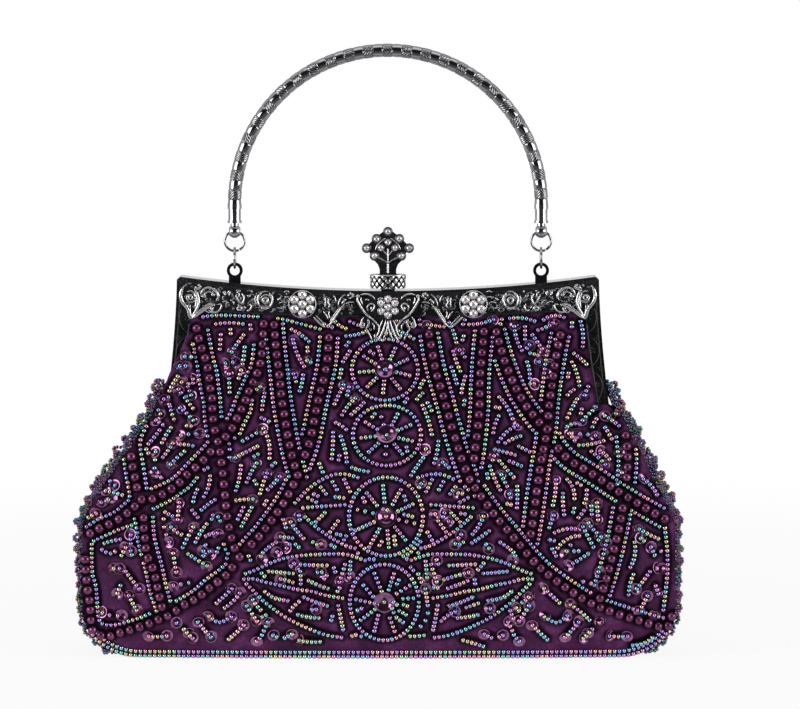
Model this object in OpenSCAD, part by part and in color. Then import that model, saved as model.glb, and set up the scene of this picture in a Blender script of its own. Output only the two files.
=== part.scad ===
/* [Bag] */
// Full width of the fabric at the widest place
bag_w = 261; // [235:1:300]
// Depth of the bag at its fullest, front to back
belly_depth = 57; // [46:1:80]
// Depth of the bag at its side seams, at the same height
belly_side_depth = 44; // [36:1:60]
// Height of the fullest place above the floor
belly_z = 45; // [34:1:56]
// Depth of the base in the middle
base_depth = 42; // [36:1:56]
// Depth of the base at its ends
base_side_depth = 32; // [26:1:40]
// Depth of the mouth in the middle, at the hinge line
mouth_depth = 32.6; // [32:0.1:40]
// Depth of the mouth at the side seams
mouth_side_depth = 25; // [22:0.5:30]
// How far the fabric stands out past the hinge ends of the frame
mouth_ease = 6.5; // [5:0.5:12]
// How far each side runs out for every millimetre down from the mouth
shoulder_slope = 0.6; // [0.5:0.05:0.8]
// Width of the round at each lower corner
corner_w = 26; // [16:1:34]
// Height of the round at each lower corner
corner_h = 22; // [14:1:30]
// Thickness of the beaded fabric with its backing
fabric_t = 1.6; // [1:0.1:2.2]
// How far each gusset bows out between its seams
gusset_bow = 3; // [1:0.5:5]
// Height of the gusset shoulders below the hinge line
gusset_drop = 7; // [6:0.5:12]
// Height of the gusset tops above the hinge line
neck_h_over_hinge = 4; // [3:0.5:8]

/* [Beadwork] */
// Width of the main rows of pearls on each face
pearl_row_w = 4.1; // [3:0.1:5]
// How far the rows of pearls stand out of the fabric
pearl_row_h = 3.4; // [1:0.1:4]
// Width of the rows of seed beads round the medallions and leaves
seed_row_w = 2.4; // [1.6:0.1:3]
// How far the rows of seed beads stand out of the fabric
seed_row_h = 1.9; // [0.6:0.1:2.4]
// Width of the ring of beads round each of the two lower medallions
medallion_w = 32.4; // [24:0.2:40]

/* [Bag trim] */
// How far the bead loops stand out of the side seams
fringe_reach = 3.6; // [2:0.2:5]
// Width of the row of bead loops
fringe_w = 2.6; // [2:0.2:4]
// Height of the bead loops' upper end above the hinge line
fringe_rise = 16; // [8:1:24]
// Height of the beaded hem
hem_h = 4.4; // [3:0.2:6]
// Thickness of the beaded hem
hem_t = 1.8; // [1:0.2:2.6]
// Thickness of the lining
lining_t = 0.8; // [0.5:0.1:1.2]
// Height of the lining's edge below the hinge line
lining_drop = 9; // [8:0.5:14]
// Length of the stiffening board in the base
board_l = 196; // [160:1:200]
// Width of the stiffening board
board_w = 24; // [18:1:25]
// Thickness of the stiffening board
board_t = 1.8; // [1:0.1:2.4]

/* [Frame] */
// Height of the hinge line above the floor
hinge_z = 105; // [96:1:116]
// Width of the frame between its top corners
frame_top_w = 185; // [178:1:190]
// Width of the frame at the hinges
frame_foot_w = 195.6; // [192:0.2:204]
// Height of the top corners above the hinge line
frame_rise = 61.8; // [56:0.2:70]
// How far the top edge droops between its corners
frame_droop = 6.5; // [3:0.5:8]
// Height of the bar in the middle
bar_mid_h = 11.7; // [10:0.1:14]
// Height of the bar at the corners
bar_corner_h = 14.5; // [12:0.1:17]
// Width of the arms under the corners
arm_top_w = 7.6; // [6.6:0.1:9]
// Width of the arms at the hinges
arm_foot_w = 4.3; // [4.1:0.1:5]
// Depth of each half of the frame, front to back
frame_d = 6.45; // [6:0.05:7.5]
// Thickness of the sheet that the frame is pressed from
sheet_t = 1; // [0.8:0.1:1.2]
// How far the fabric goes into the channel of the frame
tuck = 3.2; // [2.2:0.1:4]

/* [Hinges] */
// Diameter of the hinge rivets
rivet_d = 2.5; // [2:0.1:3]
// Diameter of the rivet heads
rivet_head_d = 4.4; // [3.8:0.1:5]
// Thickness of the rivet heads
rivet_head_t = 0.8; // [0.6:0.1:1]
// Diameter of the hinge leaves
leaf_d = 6.4; // [5.4:0.1:6.8]
// Thickness of the hinge leaves
leaf_t = 1.5; // [1.2:0.1:1.6]

/* [Handle] */
// Radius of the handle's arch, to the middle of the tube
handle_r = 67.2; // [56:0.2:74]
// Diameter of the handle tube
handle_d = 5.7; // [5:0.1:7]
// Diameter of the ferrules
ferrule_d = 6.1; // [5.4:0.1:7.4]
// Length of the ferrules
ferrule_h = 8.4; // [7:0.2:12]
// Diameter of the spigots inside the ferrules
spigot_d = 3.6; // [3:0.1:4]
// Length of the arch's spigots
spigot_h = 6; // [4:0.2:6]
// Diameter of the ball ends
ball_d = 5.9; // [5.6:0.1:6.8]
// Radius of the rings, to the middle of the wire
ring_r = 4.3; // [4.1:0.1:5]
// Diameter of the ring wire
wire_d = 1.1; // [0.9:0.05:1.2]
// Diameter of the lug's eye
eye_d = 4.32; // [4.1:0.02:4.6]
// Width of the rim round the lug's eye
eye_rim = 1.34; // [1.2:0.02:1.4]
// Thickness of the lugs
lug_t = 1.4; // [1.2:0.05:1.4]
// Height of the lug's eye above the frame's top edge
lug_rise = 5.4; // [4.6:0.1:7]
// Width of the lug's stem
lug_stem_w = 5.2; // [4:0.1:6]

/* [Clasp] */
// Width of the knurled collar
collar_w = 15.2; // [13:0.1:18]
// Depth of the knurled collar
collar_d = 11; // [10.6:0.1:12]
// Height of the knurled collar
collar_h = 5.7; // [5:0.1:7]
// Wall of the knurled collar
collar_t = 1.1; // [0.9:0.1:1.2]
// How far the collar's lower rim stands above the frame
collar_lift = 1.2; // [1.2:0.1:1.6]
// Middle of the collar, forward of the line where the halves meet
collar_y = 1.5; // [1.4:0.1:1.8]
// Diameter of the clasp pin
clasp_pin_d = 1.8; // [1.4:0.1:2]
// Height of the clasp pin above the collar's lower rim
clasp_pin_rise = 2.9; // [2.8:0.1:3.2]
// Width of the finial's stem
stem_w = 7.3; // [6:0.1:8]
// Thickness of the finial
finial_t = 1.6; // [1.4:0.1:1.8]
// Height of the finial's fan above its stem
fan_h = 18.9; // [17:0.1:22]
// Half width of the finial's fan
fan_half_w = 11.1; // [10:0.1:13]
// Height of the keeper
keeper_h = 0.95; // [0.8:0.05:1.05]
// Width of the keeper
keeper_w = 6; // [4:0.5:7]

/* [Ornaments] */
// Diameter of the glass stones
stone_d = 3; // [2:0.1:3.2]
// Height of the glass stones
stone_h = 1.1; // [0.8:0.1:1.6]
// Width of the centre ornament
ornament_w = 27; // [22:0.5:32]
// Height of the centre ornament
ornament_h = 21; // [18:0.5:26]
// Thickness of the ornament plates
ornament_t = 1.4; // [1:0.1:2]
// Diameter of the side rosettes
rosette_d = 11.6; // [10:0.1:13]
// Distance of the side rosettes from the middle
rosette_x = 37.5; // [30:0.5:50]

/* [Clearances] */
// Air between the two halves of the frame when they are shut
half_gap = 0.3; // [0.2:0.05:0.4]
// Air round a pin that turns
fit = 0.05; // [0.03:0.01:0.1]
// Air between pieces of the bag that are sewn together
seam_gap = 0.1; // [0.05:0.05:0.2]
// Air between pieces that move past each other
air = 0.2; // [0.15:0.05:0.3]

/* [Hidden] */

$fn = 48;
left = -1;
right = 1;
satin = [0.32, 0.16, 0.27];
bead_plum = [0.36, 0.26, 0.42];
dark_metal = [0.23, 0.22, 0.24];
silver = [0.72, 0.71, 0.7];
crystal = [0.86, 0.9, 0.94];
eps = 0.01;

// Places that follow from the driving sizes
corner_z = hinge_z + frame_rise;
top_half = frame_top_w / 2;
foot_half = frame_foot_w / 2;
mouth_half = foot_half + mouth_ease;
half_y = half_gap / 2;
frame_front_y = half_y + frame_d;
pocket_front_y = frame_front_y - sheet_t;
pocket_rear_y = half_y + sheet_t;
panel_edge_y = pocket_front_y - air;
frame_mid_z = corner_z - frame_droop;
ring_y = -(half_y + frame_d / 2);

// The rounds of the bag: how sharply each curve turns
belly_power_low = 2.2;
belly_power_high = 1.8;
skin_power = 2.5;
shoulder_round = 2;
arm_flare = 1.6;
arm_taper = 0.6;
upper_power = 1.5;

// The bag's outline: straight sides that lean in to the mouth, round lower corners
function smooth_min(a, b, k) = -k * ln(exp(-a / k) + exp(-b / k));
function corner_inset(z) = z >= corner_h ? 0
    : corner_w * (1 - sqrt(1 - pow((corner_h - z) / corner_h, 2)));
function shoulder(z) = mouth_half + shoulder_slope * (hinge_z - z);
function bag_half(z) = smooth_min(bag_w / 2, shoulder(z), shoulder_round) - corner_inset(z);
function swell(z, foot, belly, mouth) = z < belly_z
    ? belly - (belly - foot) * pow((belly_z - z) / belly_z, belly_power_low)
    : belly - (belly - mouth) * pow((z - belly_z) / (hinge_z - belly_z), belly_power_high);
function mid_half(z) = swell(z, base_depth, belly_depth, mouth_depth) / 2;
function side_half(z) = swell(z, base_side_depth, belly_side_depth, mouth_side_depth) / 2;
function skin_y(u, z) = side_half(z) + (mid_half(z) - side_half(z)) * (1 - pow(abs(u), skin_power));

// Heights at which the bag's walls have their points
corner_steps = 6;
side_steps = 10;
function level(i, top) = i <= corner_steps
    ? corner_h * (1 - cos(90 * i / corner_steps))
    : corner_h + (top - corner_h) * (i - corner_steps) / side_steps;
function levels(top) = [for (i = [0 : corner_steps + side_steps]) level(i, top)];
cols = 24;
gusset_cols = 8;

// A closed slab between two grids of points, each with its rows upwards
function quad(a, b, c, d) = [[a, b, c], [a, c, d]];
function flat(list) = [for (group = list) for (item = group) item];
module slab(outer, inner) {
    rows = len(outer);
    wide = len(outer[0]);
    n = rows * wide;
    skin = [for (r = [0 : rows - 2]) for (c = [0 : wide - 2]) let (k = r * wide + c)
        quad(k, k + wide, k + wide + 1, k + 1)];
    back = [for (r = [0 : rows - 2]) for (c = [0 : wide - 2]) let (k = n + r * wide + c)
        quad(k, k + 1, k + wide + 1, k + wide)];
    foot = [for (c = [0 : wide - 2]) quad(c, c + 1, n + c + 1, n + c)];
    head = [for (c = [0 : wide - 2]) let (k = (rows - 1) * wide + c) quad(k + 1, k, n + k, n + k + 1)];
    near = [for (r = [0 : rows - 2]) let (k = r * wide) quad(k + wide, k, n + k, n + k + wide)];
    far = [for (r = [0 : rows - 2]) let (k = r * wide + wide - 1) quad(k, k + wide, n + k + wide, n + k)];
    polyhedron(concat(flat(outer), flat(inner)), flat(concat(skin, back, foot, head, near, far)));
}

// A row of beads along a line of points, given as across and up on a wall
row_sink = 0.9;
row_flank = 0.4;
row_crown = 0.5;
function row_run(line, i) = line[min(i + 1, len(line) - 1)] - line[max(i - 1, 0)];
function row_side(line, i) = [-row_run(line, i)[1], row_run(line, i)[0]] / norm(row_run(line, i));
function row_section(w, h) = [[w / 2, -row_sink], [w / 2, h * row_flank], [w / 2 * row_crown, h],
    [-w / 2 * row_crown, h], [-w / 2, h * row_flank], [-w / 2, -row_sink]];
function row_ring(line, i, w, h, y) = let (p = line[i], n = row_side(line, i))
    [for (s = row_section(w, h)) [p[0] + s[0] * n[0], -(y + s[1]), p[1] + s[0] * n[1]]];
ring_steps = 9;

// Rows on the lower wall: the pearls, then the seed beads round the two lower medallions and leaves
lower_pearl_rows = [
    [[-75.7, 101], [-72, 92.5], [-70.4, 84.7], [-66.9, 62.5], [-63.8, 49], [-61.1, 44.6]],
    [[-67.6, 101], [-69.6, 97.4], [-71.4, 91]],
    [[-44.1, 101], [-39.6, 87.2], [-36.7, 80.3], [-42, 67.5], [-52.3, 54], [-61, 44.9], [-73, 32.9],
        [-84.2, 25.2], [-98.3, 17.3], [-110, 13]],
    [[-32, 101], [-32.6, 96], [-36.4, 81]],
    [[-72.2, 92], [-80.9, 84], [-93.4, 72.5], [-105.7, 70], [-115, 60], [-121, 56]],
    [[-109.2, 82.4], [-106.7, 74], [-103.5, 60.8], [-102.2, 47.5], [-99, 39.6], [-94.1, 19.4]],
    [[28, 101], [31.6, 93.7], [38.6, 78.6], [49.1, 64.4], [58.6, 54], [69.6, 40.7], [80.6, 32.4],
        [95.5, 23.2], [112, 17]],
    [[40.4, 101], [40, 87.4], [38.8, 79]],
    [[67, 101], [71, 98.6], [79.1, 88.2], [92.1, 81.2], [106.9, 71.5], [117, 66]],
    [[71.2, 98], [69.5, 87.4], [68.4, 68.9], [66.5, 52], [63.6, 46.8]],
    [[108.1, 83.9], [106.8, 66.2], [103.9, 49.4], [98.6, 31.4], [95.6, 23.6]],
];
medallion_places = [[2.9, 62.4], [2.5, 25.2]];
lower_seed_rows = [
    [[-37.1, 68.4], [-31.5, 75.5], [-22.1, 80.8], [-9.8, 78.2]],
    [[-37.1, 68.4], [-26, 56], [-9.8, 50.4]],
    [[43, 68.4], [37.3, 75.5], [27.9, 80.8], [15.6, 78.2]],
    [[43, 68.4], [31.8, 56], [15.6, 50.4]],
    [[-58.7, 37.5], [-40.9, 44.3], [-26.5, 45.9], [-14.9, 45.4]],
    [[-58.3, 32.9], [-51.6, 26], [-35.8, 15.6], [-13.4, 11]],
    [[70, 38], [48, 44.8], [33, 46.2], [19.9, 45.4]],
    [[69, 33], [60, 26], [42, 15.6], [18.4, 11]],
];
function lower_y(p) = skin_y(p[0] / bag_half(p[1]), p[1]);
module lower_row(line, w, h) {
    ring_stack([for (i = [0 : len(line) - 1]) row_ring(line, i, w, h, lower_y(line[i]))]);
}

// The ring round a medallion, made of two halves that lap
ring_lap = 8;
module medallion_ring(place) {
    turn = 180 + 2 * ring_lap;
    for (start = [0, 180])
        lower_row([for (i = [0 : ring_steps]) let (a = start - ring_lap + turn * i / ring_steps)
            place + medallion_w / 2 * [cos(a), sin(a)]], seed_row_w, seed_row_h);
}

// Lower front wall of the bag
function lower_wall(inset) = [for (z = levels(hinge_z)) [for (c = [0 : cols])
    let (u = 2 * c / cols - 1) [u * bag_half(z), -(skin_y(u, z) - inset), z]]];
module lower_panel() {
    union() {
        slab(lower_wall(0), lower_wall(fabric_t));
        for (line = lower_pearl_rows) lower_row(line, pearl_row_w, pearl_row_h);
        for (line = lower_seed_rows) lower_row(line, seed_row_w, seed_row_h);
        for (place = medallion_places) medallion_ring(place);
    }
}
module front_panel_lower() {
    color(satin) lower_panel();
}
module rear_panel_lower() {
    color(satin) mirror([0, 1, 0]) lower_panel();
}

// Side wall, swept up the outline of the bag and over the shoulder to the hinge,
// with its thickness square to that line
gusset_top = hinge_z - gusset_drop;
neck_x = foot_half + 1.5 * air + fabric_t;
neck_foot_drop = 2;
neck_foot_z = hinge_z - neck_foot_drop;
neck_top_z = hinge_z + neck_h_over_hinge;
neck_half = leaf_d;
neck_spread = 2;
shoulder_swell = 0.6;
shoulder_x = (2 * bag_half(gusset_top) + neck_x) / 3 + shoulder_swell;
shoulder_mid = [shoulder_x, (gusset_top + neck_foot_z) / 2];
gusset_levels = levels(gusset_top);
gusset_line = concat([for (z = gusset_levels) [bag_half(z), z]],
    [shoulder_mid, [neck_x, neck_foot_z], [neck_x, neck_top_z]]);
gusset_last = len(gusset_line) - 1;
function line_run(i) = gusset_line[min(i + 1, gusset_last)] - gusset_line[max(i - 1, 0)];
function line_normal(i) = i == 0 ? [0, -1] : [line_run(i)[1], -line_run(i)[0]] / norm(line_run(i));
function bow_at(v, z) = z > gusset_top ? 0
    : gusset_bow * (1 - v * v) * min(1, z / corner_h) * min(1, (gusset_top - z) / corner_h);
shoulder_taper = side_half(gusset_top) - fabric_t - neck_half - neck_spread;
function shoulder_share(z) = max(0, z - gusset_top) / (neck_foot_z - gusset_top);
function gusset_half(z) = z > neck_foot_z ? neck_half
    : side_half(min(z, gusset_top)) - fabric_t - seam_gap - shoulder_share(z) * shoulder_taper;
function gusset_wall(inset) = [for (i = [0 : gusset_last]) [for (c = [0 : gusset_cols])
    let (v = 2 * c / gusset_cols - 1, z = gusset_line[i][1])
    let (p = gusset_line[i] + line_normal(i) * (bow_at(v, z) - inset))
    [p[0], v * gusset_half(z), p[1]]]];
module gusset() {
    slab(gusset_wall(0), gusset_wall(fabric_t));
}
module right_gusset() {
    color(satin) gusset();
}
module left_gusset() {
    color(satin) mirror([1, 0, 0]) gusset();
}

// Flat bottom of the bag
function base_edge(u) = [u * (bag_half(0) - seam_gap), skin_y(u, 0) - fabric_t - seam_gap];
base_front = [for (c = [0 : cols]) let (p = base_edge(2 * c / cols - 1)) [p[0], -p[1]]];
base_back = [for (c = [0 : cols]) base_edge(1 - 2 * c / cols)];
module base_panel() {
    color(satin) linear_extrude(fabric_t) polygon(concat(base_front, base_back));
}
module base_board() {
    color("peru") translate([-board_l / 2, -board_w / 2, fabric_t + seam_gap])
        cube([board_l, board_w, board_t]);
}

// Lining: an open cup that follows the inside of the bag
lining_foot = fabric_t + board_t + 2 * seam_gap;
lining_top = hinge_z - lining_drop;
lining_inset = fabric_t + 2 * seam_gap;
lining_rows = 10;
lining_cols = 16;
lining_side = 0.8;
lining_corner = 1.2;
function lining_z(r) = lining_foot + (lining_top - lining_foot) * r / lining_rows;
function lining_half_w(z) = (bag_half(max(z - lining_corner, 0)) - 2 * lining_inset);
function lining_ring(z, inset) = let (w = lining_half_w(z) - inset, d = lining_inset + inset)
    concat(
        [for (c = [0 : lining_cols]) let (u = 2 * c / lining_cols - 1)
            [u * w, -(skin_y(u, z) * lining_side - d), z]],
        [for (c = [0 : lining_cols]) let (u = 1 - 2 * c / lining_cols)
            [u * w, skin_y(u, z) * lining_side - d, z]]);
module ring_stack(rings) {
    n = len(rings[0]);
    last = (len(rings) - 1) * n;
    sides = [for (r = [0 : len(rings) - 2]) for (c = [0 : n - 1]) let (k = r * n, d = (c + 1) % n)
        quad(k + c, k + n + c, k + n + d, k + d)];
    polyhedron(flat(rings), concat(flat(sides), [[for (c = [0 : n - 1]) c]],
        [[for (c = [0 : n - 1]) last + n - 1 - c]]), convexity = 6);
}
module lining() {
    color("thistle") difference() {
        ring_stack([for (r = [0 : lining_rows]) lining_ring(lining_z(r), 0)]);
        ring_stack([for (r = [0 : lining_rows + 1]) let (z = lining_z(min(r, lining_rows)))
            [for (p = lining_ring(z, lining_t)) [p[0], p[1], p[2] + (r > lining_rows ? 1 : lining_t)]]]);
    }
}

// Beaded hem along the foot of each wall
hem_foot = 0.8;
hem_half = 112;
hem_rows = 2;
function hem_z(r) = hem_foot + hem_h * r / hem_rows;
function hem_wall(out) = [for (r = [0 : hem_rows]) [for (c = [0 : cols])
    let (x = (2 * c / cols - 1) * min(hem_half, bag_half(hem_foot) - 1), z = hem_z(r))
    [x, -(skin_y(x / bag_half(z), z) + out), z]]];
module hem() {
    slab(hem_wall(seam_gap + hem_t), hem_wall(seam_gap));
}
module front_hem() {
    color(bead_plum) hem();
}
module rear_hem() {
    color(bead_plum) mirror([0, 1, 0]) hem();
}

// Bead loops along the side seams, front and back, up past the hinge ends of the frame
fringe_foot = hem_foot + hem_h + 1;
fringe_top = hinge_z + fringe_rise;
fringe_steps = 20;
fringe_clear = 1;
fringe_lean = 1.2;
function fringe_z(i) = fringe_foot + (fringe_top - fringe_foot) * i / fringe_steps;
function fringe_x(z) = z < hinge_z ? bag_half(z)
    : foot_half + fringe_clear
        + (mouth_ease - fringe_clear) * pow((fringe_top - z) / fringe_rise, fringe_lean);
function fringe_y(z) = z < hinge_z ? side_half(z)
    : side_half(hinge_z) - (side_half(hinge_z) - panel_edge_y) * (z - hinge_z) / fringe_rise;
function fringe_wall(out) = [for (i = [0 : fringe_steps]) let (z = fringe_z(i))
    [for (v = [-1, 1]) [fringe_x(z) + air + out, -fringe_y(z) + v * fringe_w / 2, z]]];
module seam_fringe() {
    slab(fringe_wall(fringe_reach), fringe_wall(0));
}
module bead_fringe() {
    seam_fringe();
    mirror([0, 1, 0]) seam_fringe();
}
module right_bead_fringe() {
    color(bead_plum) bead_fringe();
}
module left_bead_fringe() {
    color(bead_plum) mirror([1, 0, 0]) bead_fringe();
}

// Outline of the frame: drooping top bar and two arms that spread and taper to the hinges
arm_steps = 8;
bar_steps = 12;
top_corner_r = 1.5;
inner_corner_r = 4;
function arm_share(z) = (z - hinge_z) / frame_rise;
function outer_x(z) = top_half + (foot_half - top_half) * pow(max(0, 1 - arm_share(z)), arm_flare);
function arm_w(z) = arm_foot_w + (arm_top_w - arm_foot_w) * pow(max(0, arm_share(z)), arm_taper);
function inner_x(z) = outer_x(z) - arm_w(z);
function top_z(x) = corner_z - frame_droop * (1 - pow(x / top_half, 2));
function bar_foot_z(x) = top_z(x) - bar_mid_h - (bar_corner_h - bar_mid_h) * pow(x / top_half, 2);
function flipped(list) = [for (p = list) [-p[0], p[1]]];
function reversed(list) = [for (i = [len(list) - 1 : -1 : 0]) list[i]];
function mirrored(list) = reversed(flipped(list));
function arc(centre, r, from, to, n) = [for (i = [0 : n]) let (a = from + (to - from) * i / n)
    centre + r * [cos(a), sin(a)]];

function outer_side(inset) = let (top = corner_z - top_corner_r)
    concat(
        [for (i = [0 : arm_steps]) let (z = hinge_z + (top - hinge_z) * i / arm_steps)
            [outer_x(z) - inset, z - inset]],
        [for (i = [0 : bar_steps]) let (x = (top_half - top_corner_r) * (1 - i / bar_steps))
            [x, top_z(x) - inset]]);
inner_corner_z = bar_foot_z(top_half) - inner_corner_r;
inner_corner_x = inner_x(inner_corner_z) - inner_corner_r;
function inner_side(grow) = concat(
    [for (i = [0 : arm_steps]) let (z = hinge_z + (inner_corner_z - hinge_z) * i / arm_steps)
        [inner_x(z) - grow, z]],
    [for (p = arc([inner_corner_x, inner_corner_z], inner_corner_r, 15, 75, 3)) p - [grow, grow]],
    [for (i = [0 : bar_steps]) let (x = inner_corner_x * (1 - i / bar_steps)) [x, bar_foot_z(x) - grow]]);
module frame_outline(inset, grow, drop) {
    outer = outer_side(inset);
    inner = inner_side(grow);
    foot_out = [outer[0][0], hinge_z - drop];
    foot_in = [inner[0][0], hinge_z - drop];
    outer_line = concat([foot_out], outer);
    inner_line = concat([foot_in], inner);
    polygon(concat(outer_line, mirrored(outer_line), flipped(inner_line), reversed(inner_line)));
}

// Height of the frame's top edge as it is drawn, in straight steps
top_step = (top_half - top_corner_r) / bar_steps;
function seat_z(x) = let (k = floor(abs(x) / top_step), share = abs(x) / top_step - k)
    top_z(k * top_step) * (1 - share) + top_z((k + 1) * top_step) * share;

// Turns a drawing in the plane of the frame into a plate between two depths, front towards -Y
module plate(near, far) {
    translate([0, -near, 0]) rotate([90, 0, 0]) linear_extrude(far - near) children();
}
module x_cylinder(x, length, d) {
    translate([x, 0, hinge_z]) rotate([0, 90, 0]) cylinder(h = length, d = d);
}

// Hinge stack along X at each foot: head, front leaf, rear leaf, head
leaf_x = foot_half - arm_foot_w + eps;
rear_leaf_x = leaf_x + leaf_t + air;
stack_end = rear_leaf_x + leaf_t;
relief_d = leaf_d + 3 * air;
module frame_channel() {
    difference() {
        plate(half_y, frame_front_y) frame_outline(0, 0, 0);
        plate(pocket_rear_y, pocket_front_y) frame_outline(sheet_t, air + sheet_t, 1);
    }
}
module hinge_leaf(side, x) {
    mirror([side < 0 ? 1 : 0, 0, 0]) x_cylinder(x, leaf_t, leaf_d);
}
module hinge_relief(side, x, length, d) {
    mirror([side < 0 ? 1 : 0, 0, 0]) x_cylinder(x, length, d);
}
module front_frame() {
    color(dark_metal) difference() {
        union() {
            frame_channel();
            for (side = [left, right]) hinge_leaf(side, leaf_x);
        }
        for (side = [left, right]) {
            hinge_relief(side, leaf_x + leaf_t + air / 2, 2 * arm_foot_w, relief_d);
            hinge_relief(side, leaf_x - arm_foot_w, 3 * arm_foot_w, rivet_d + 2 * fit);
            hinge_relief(side, leaf_x - arm_foot_w, arm_foot_w, relief_d);
        }
    }
}
module rear_frame() {
    color(dark_metal) difference() {
        union() {
            difference() {
                mirror([0, 1, 0]) frame_channel();
                for (side = [left, right]) {
                    hinge_relief(side, leaf_x - arm_foot_w, arm_foot_w + leaf_t + air / 2, relief_d);
                }
            }
            for (side = [left, right]) hinge_leaf(side, rear_leaf_x);
        }
        for (side = [left, right]) {
            hinge_relief(side, stack_end, 2 * arm_foot_w, relief_d);
            hinge_relief(side, leaf_x - arm_foot_w, 3 * arm_foot_w, rivet_d + 2 * fit);
        }
    }
}
module hinge_rivet() {
    x_cylinder(leaf_x - air - rivet_head_t, rivet_head_t, rivet_head_d);
    x_cylinder(leaf_x - air - eps, stack_end - leaf_x + 2 * air + 2 * eps, rivet_d);
    x_cylinder(stack_end + air, rivet_head_t, rivet_head_d);
}
module right_hinge_rivet() {
    color(silver) hinge_rivet();
}
module left_hinge_rivet() {
    color(silver) mirror([1, 0, 0]) hinge_rivet();
}

// Upper walls of the bag, tucked into the frame's channel and bowed out below it
upper_rows = 9;
wall_clear = 1.7;
side_tuck = 0.6 * tuck;
edge_ease = 1.3;
lower_bow = mid_half(hinge_z) - fabric_t - wall_clear - panel_edge_y;
function upper_top(x) = bar_foot_z(x) + tuck;
function arm_inner_x(z) = inner_x(min(z, inner_corner_z));
function upper_edge(z) = arm_inner_x(z) + side_tuck;
function upper_fall(x, z) = max(0, (bar_foot_z(x) - air - z) / (bar_foot_z(0) - hinge_z));
function upper_round(x, z) = max(0, 1 - pow(abs(x) / (arm_inner_x(z) - edge_ease), 3));
function upper_bow(x, z) = lower_bow * pow(upper_fall(x, z), upper_power) * upper_round(x, z);
function upper_y(x, z) = panel_edge_y + upper_bow(x, z);
function upper_wall(inset) = [for (r = [0 : upper_rows]) [for (c = [0 : cols])
    let (u = 2 * c / cols - 1, share = r / upper_rows)
    let (nominal = hinge_z + share * (upper_top(0) - hinge_z))
    let (x = u * upper_edge(nominal), z = hinge_z + share * (upper_top(x) - hinge_z))
    [x, -(upper_y(x, z) - inset), z]]];
// Rows of pearls on the upper wall, above what passes the lower wall when the purse opens
upper_pearl_rows = [
    [[-82, 142], [-80.5, 131.5], [-78.2, 118.5]],
    [[-54.8, 142], [-56, 127.5], [-59.8, 118.5]],
    [[-50.4, 142], [-49, 127], [-47.6, 118.5]],
    [[-26.2, 137], [-27, 127.5], [-29.2, 118.5]],
    [[18.4, 135], [20.2, 128], [23, 118.5]],
    [[42.2, 142], [40.8, 127], [40.3, 118.5]],
    [[47.5, 142], [51.9, 126.8], [55.8, 118.5]],
    [[75.7, 140], [74, 133], [71.4, 118.5]],
];
module upper_row(line) {
    ring_stack([for (i = [0 : len(line) - 1])
        row_ring(line, i, pearl_row_w, pearl_row_h, upper_y(line[i][0], line[i][1]))]);
}
module upper_panel() {
    union() {
        slab(upper_wall(0), upper_wall(fabric_t));
        for (line = upper_pearl_rows) upper_row(line);
    }
}
module front_panel_upper() {
    color(satin) upper_panel();
}
module rear_panel_upper() {
    color(satin) mirror([0, 1, 0]) upper_panel();
}

// Glass stones: a short girdle and a cut crown, standing out towards the front
stone_table = 0.55;
stone_girdle = 0.35;
module stone(x, z, y) {
    translate([x, -y, z]) rotate([90, 0, 0]) union() {
        cylinder(h = stone_h * stone_girdle + eps, d = stone_d);
        translate([0, 0, stone_h * stone_girdle])
            cylinder(h = stone_h * (1 - stone_girdle), d1 = stone_d, d2 = stone_d * stone_table);
    }
}
module stones(places, y) {
    for (p = places) stone(p[0], p[1], y);
}
bezel_w = 0.5;
module bezels(places) {
    for (p = places) translate(p) circle(d = stone_d + 2 * bezel_w);
}

// Centre ornament: a shield of scrolls on the frame's front with a flower of stones in it
ornament_z = frame_mid_z;
flower_drop = 0.33;
flower_z = ornament_z - ornament_h * flower_drop;
flower_r = stone_d + bezel_w;
flower = concat([[0, flower_z]], [for (i = [0 : 5])
    [flower_r * cos(60 * i + 90), flower_z + flower_r * sin(60 * i + 90)]]);
shield_side = [[0.5, 0], [0.72, 0.16], [0.74, 0.44], [0.5, 0.68], [0.22, 0.88]];
scroll_r = 0.14;
scrolls = [[0.86, 0.3, 1], [0.66, 0.58, 0.9], [0.34, 0.79, 0.8]];
function shield(x, drop) = [x * ornament_w / 2, ornament_z - drop * ornament_h];
module centre_ornament() {
    half_line = [for (p = shield_side) shield(p[0], p[1])];
    r = scroll_r * ornament_w;
    front = frame_front_y + ornament_t;
    color(silver) union() {
        plate(frame_front_y, front)
            polygon(concat([shield(0, 0)], half_line, [shield(0, 1)], mirrored(half_line)));
        for (side = [left, right]) for (s = scrolls) {
            plate(frame_front_y, front)
                translate(shield(side * (s[0] - scroll_r), s[1])) circle(r = r * s[2]);
        }
    }
}
module ornament_stones() {
    color(crystal) stones(flower, frame_front_y + ornament_t);
}

// Side rosettes: a ring of stones round one more, over a leaf that points inwards and down
rosette_t = 0.7 * ornament_t;
rosette_drop = 0.58 * bar_mid_h;
rosette_z = top_z(rosette_x) - rosette_drop;
rosette_step = (rosette_d - stone_d) / 2 - bezel_w / 2;
function rosette_places(side) = concat([[side * rosette_x, rosette_z]], [for (i = [0 : 5])
    [side * rosette_x + rosette_step * cos(60 * i + 30), rosette_z + rosette_step * sin(60 * i + 30)]]);
leaf_run = [10.4, -9.6];
leaf_base = 4.6;
leaf_foot = 1;
module rosette(side) {
    centre = [side * rosette_x, rosette_z];
    low = centre + [-side * leaf_foot, -leaf_base];
    tip = centre + [-side * leaf_run[0], leaf_run[1]];
    high = centre + [-side * leaf_base, -leaf_foot];
    color(silver) union() {
        plate(frame_front_y, frame_front_y + rosette_t) translate(centre) circle(d = rosette_d);
        plate(frame_front_y, frame_front_y + rosette_t) polygon([centre, low, tip, high]);
    }
}
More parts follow.
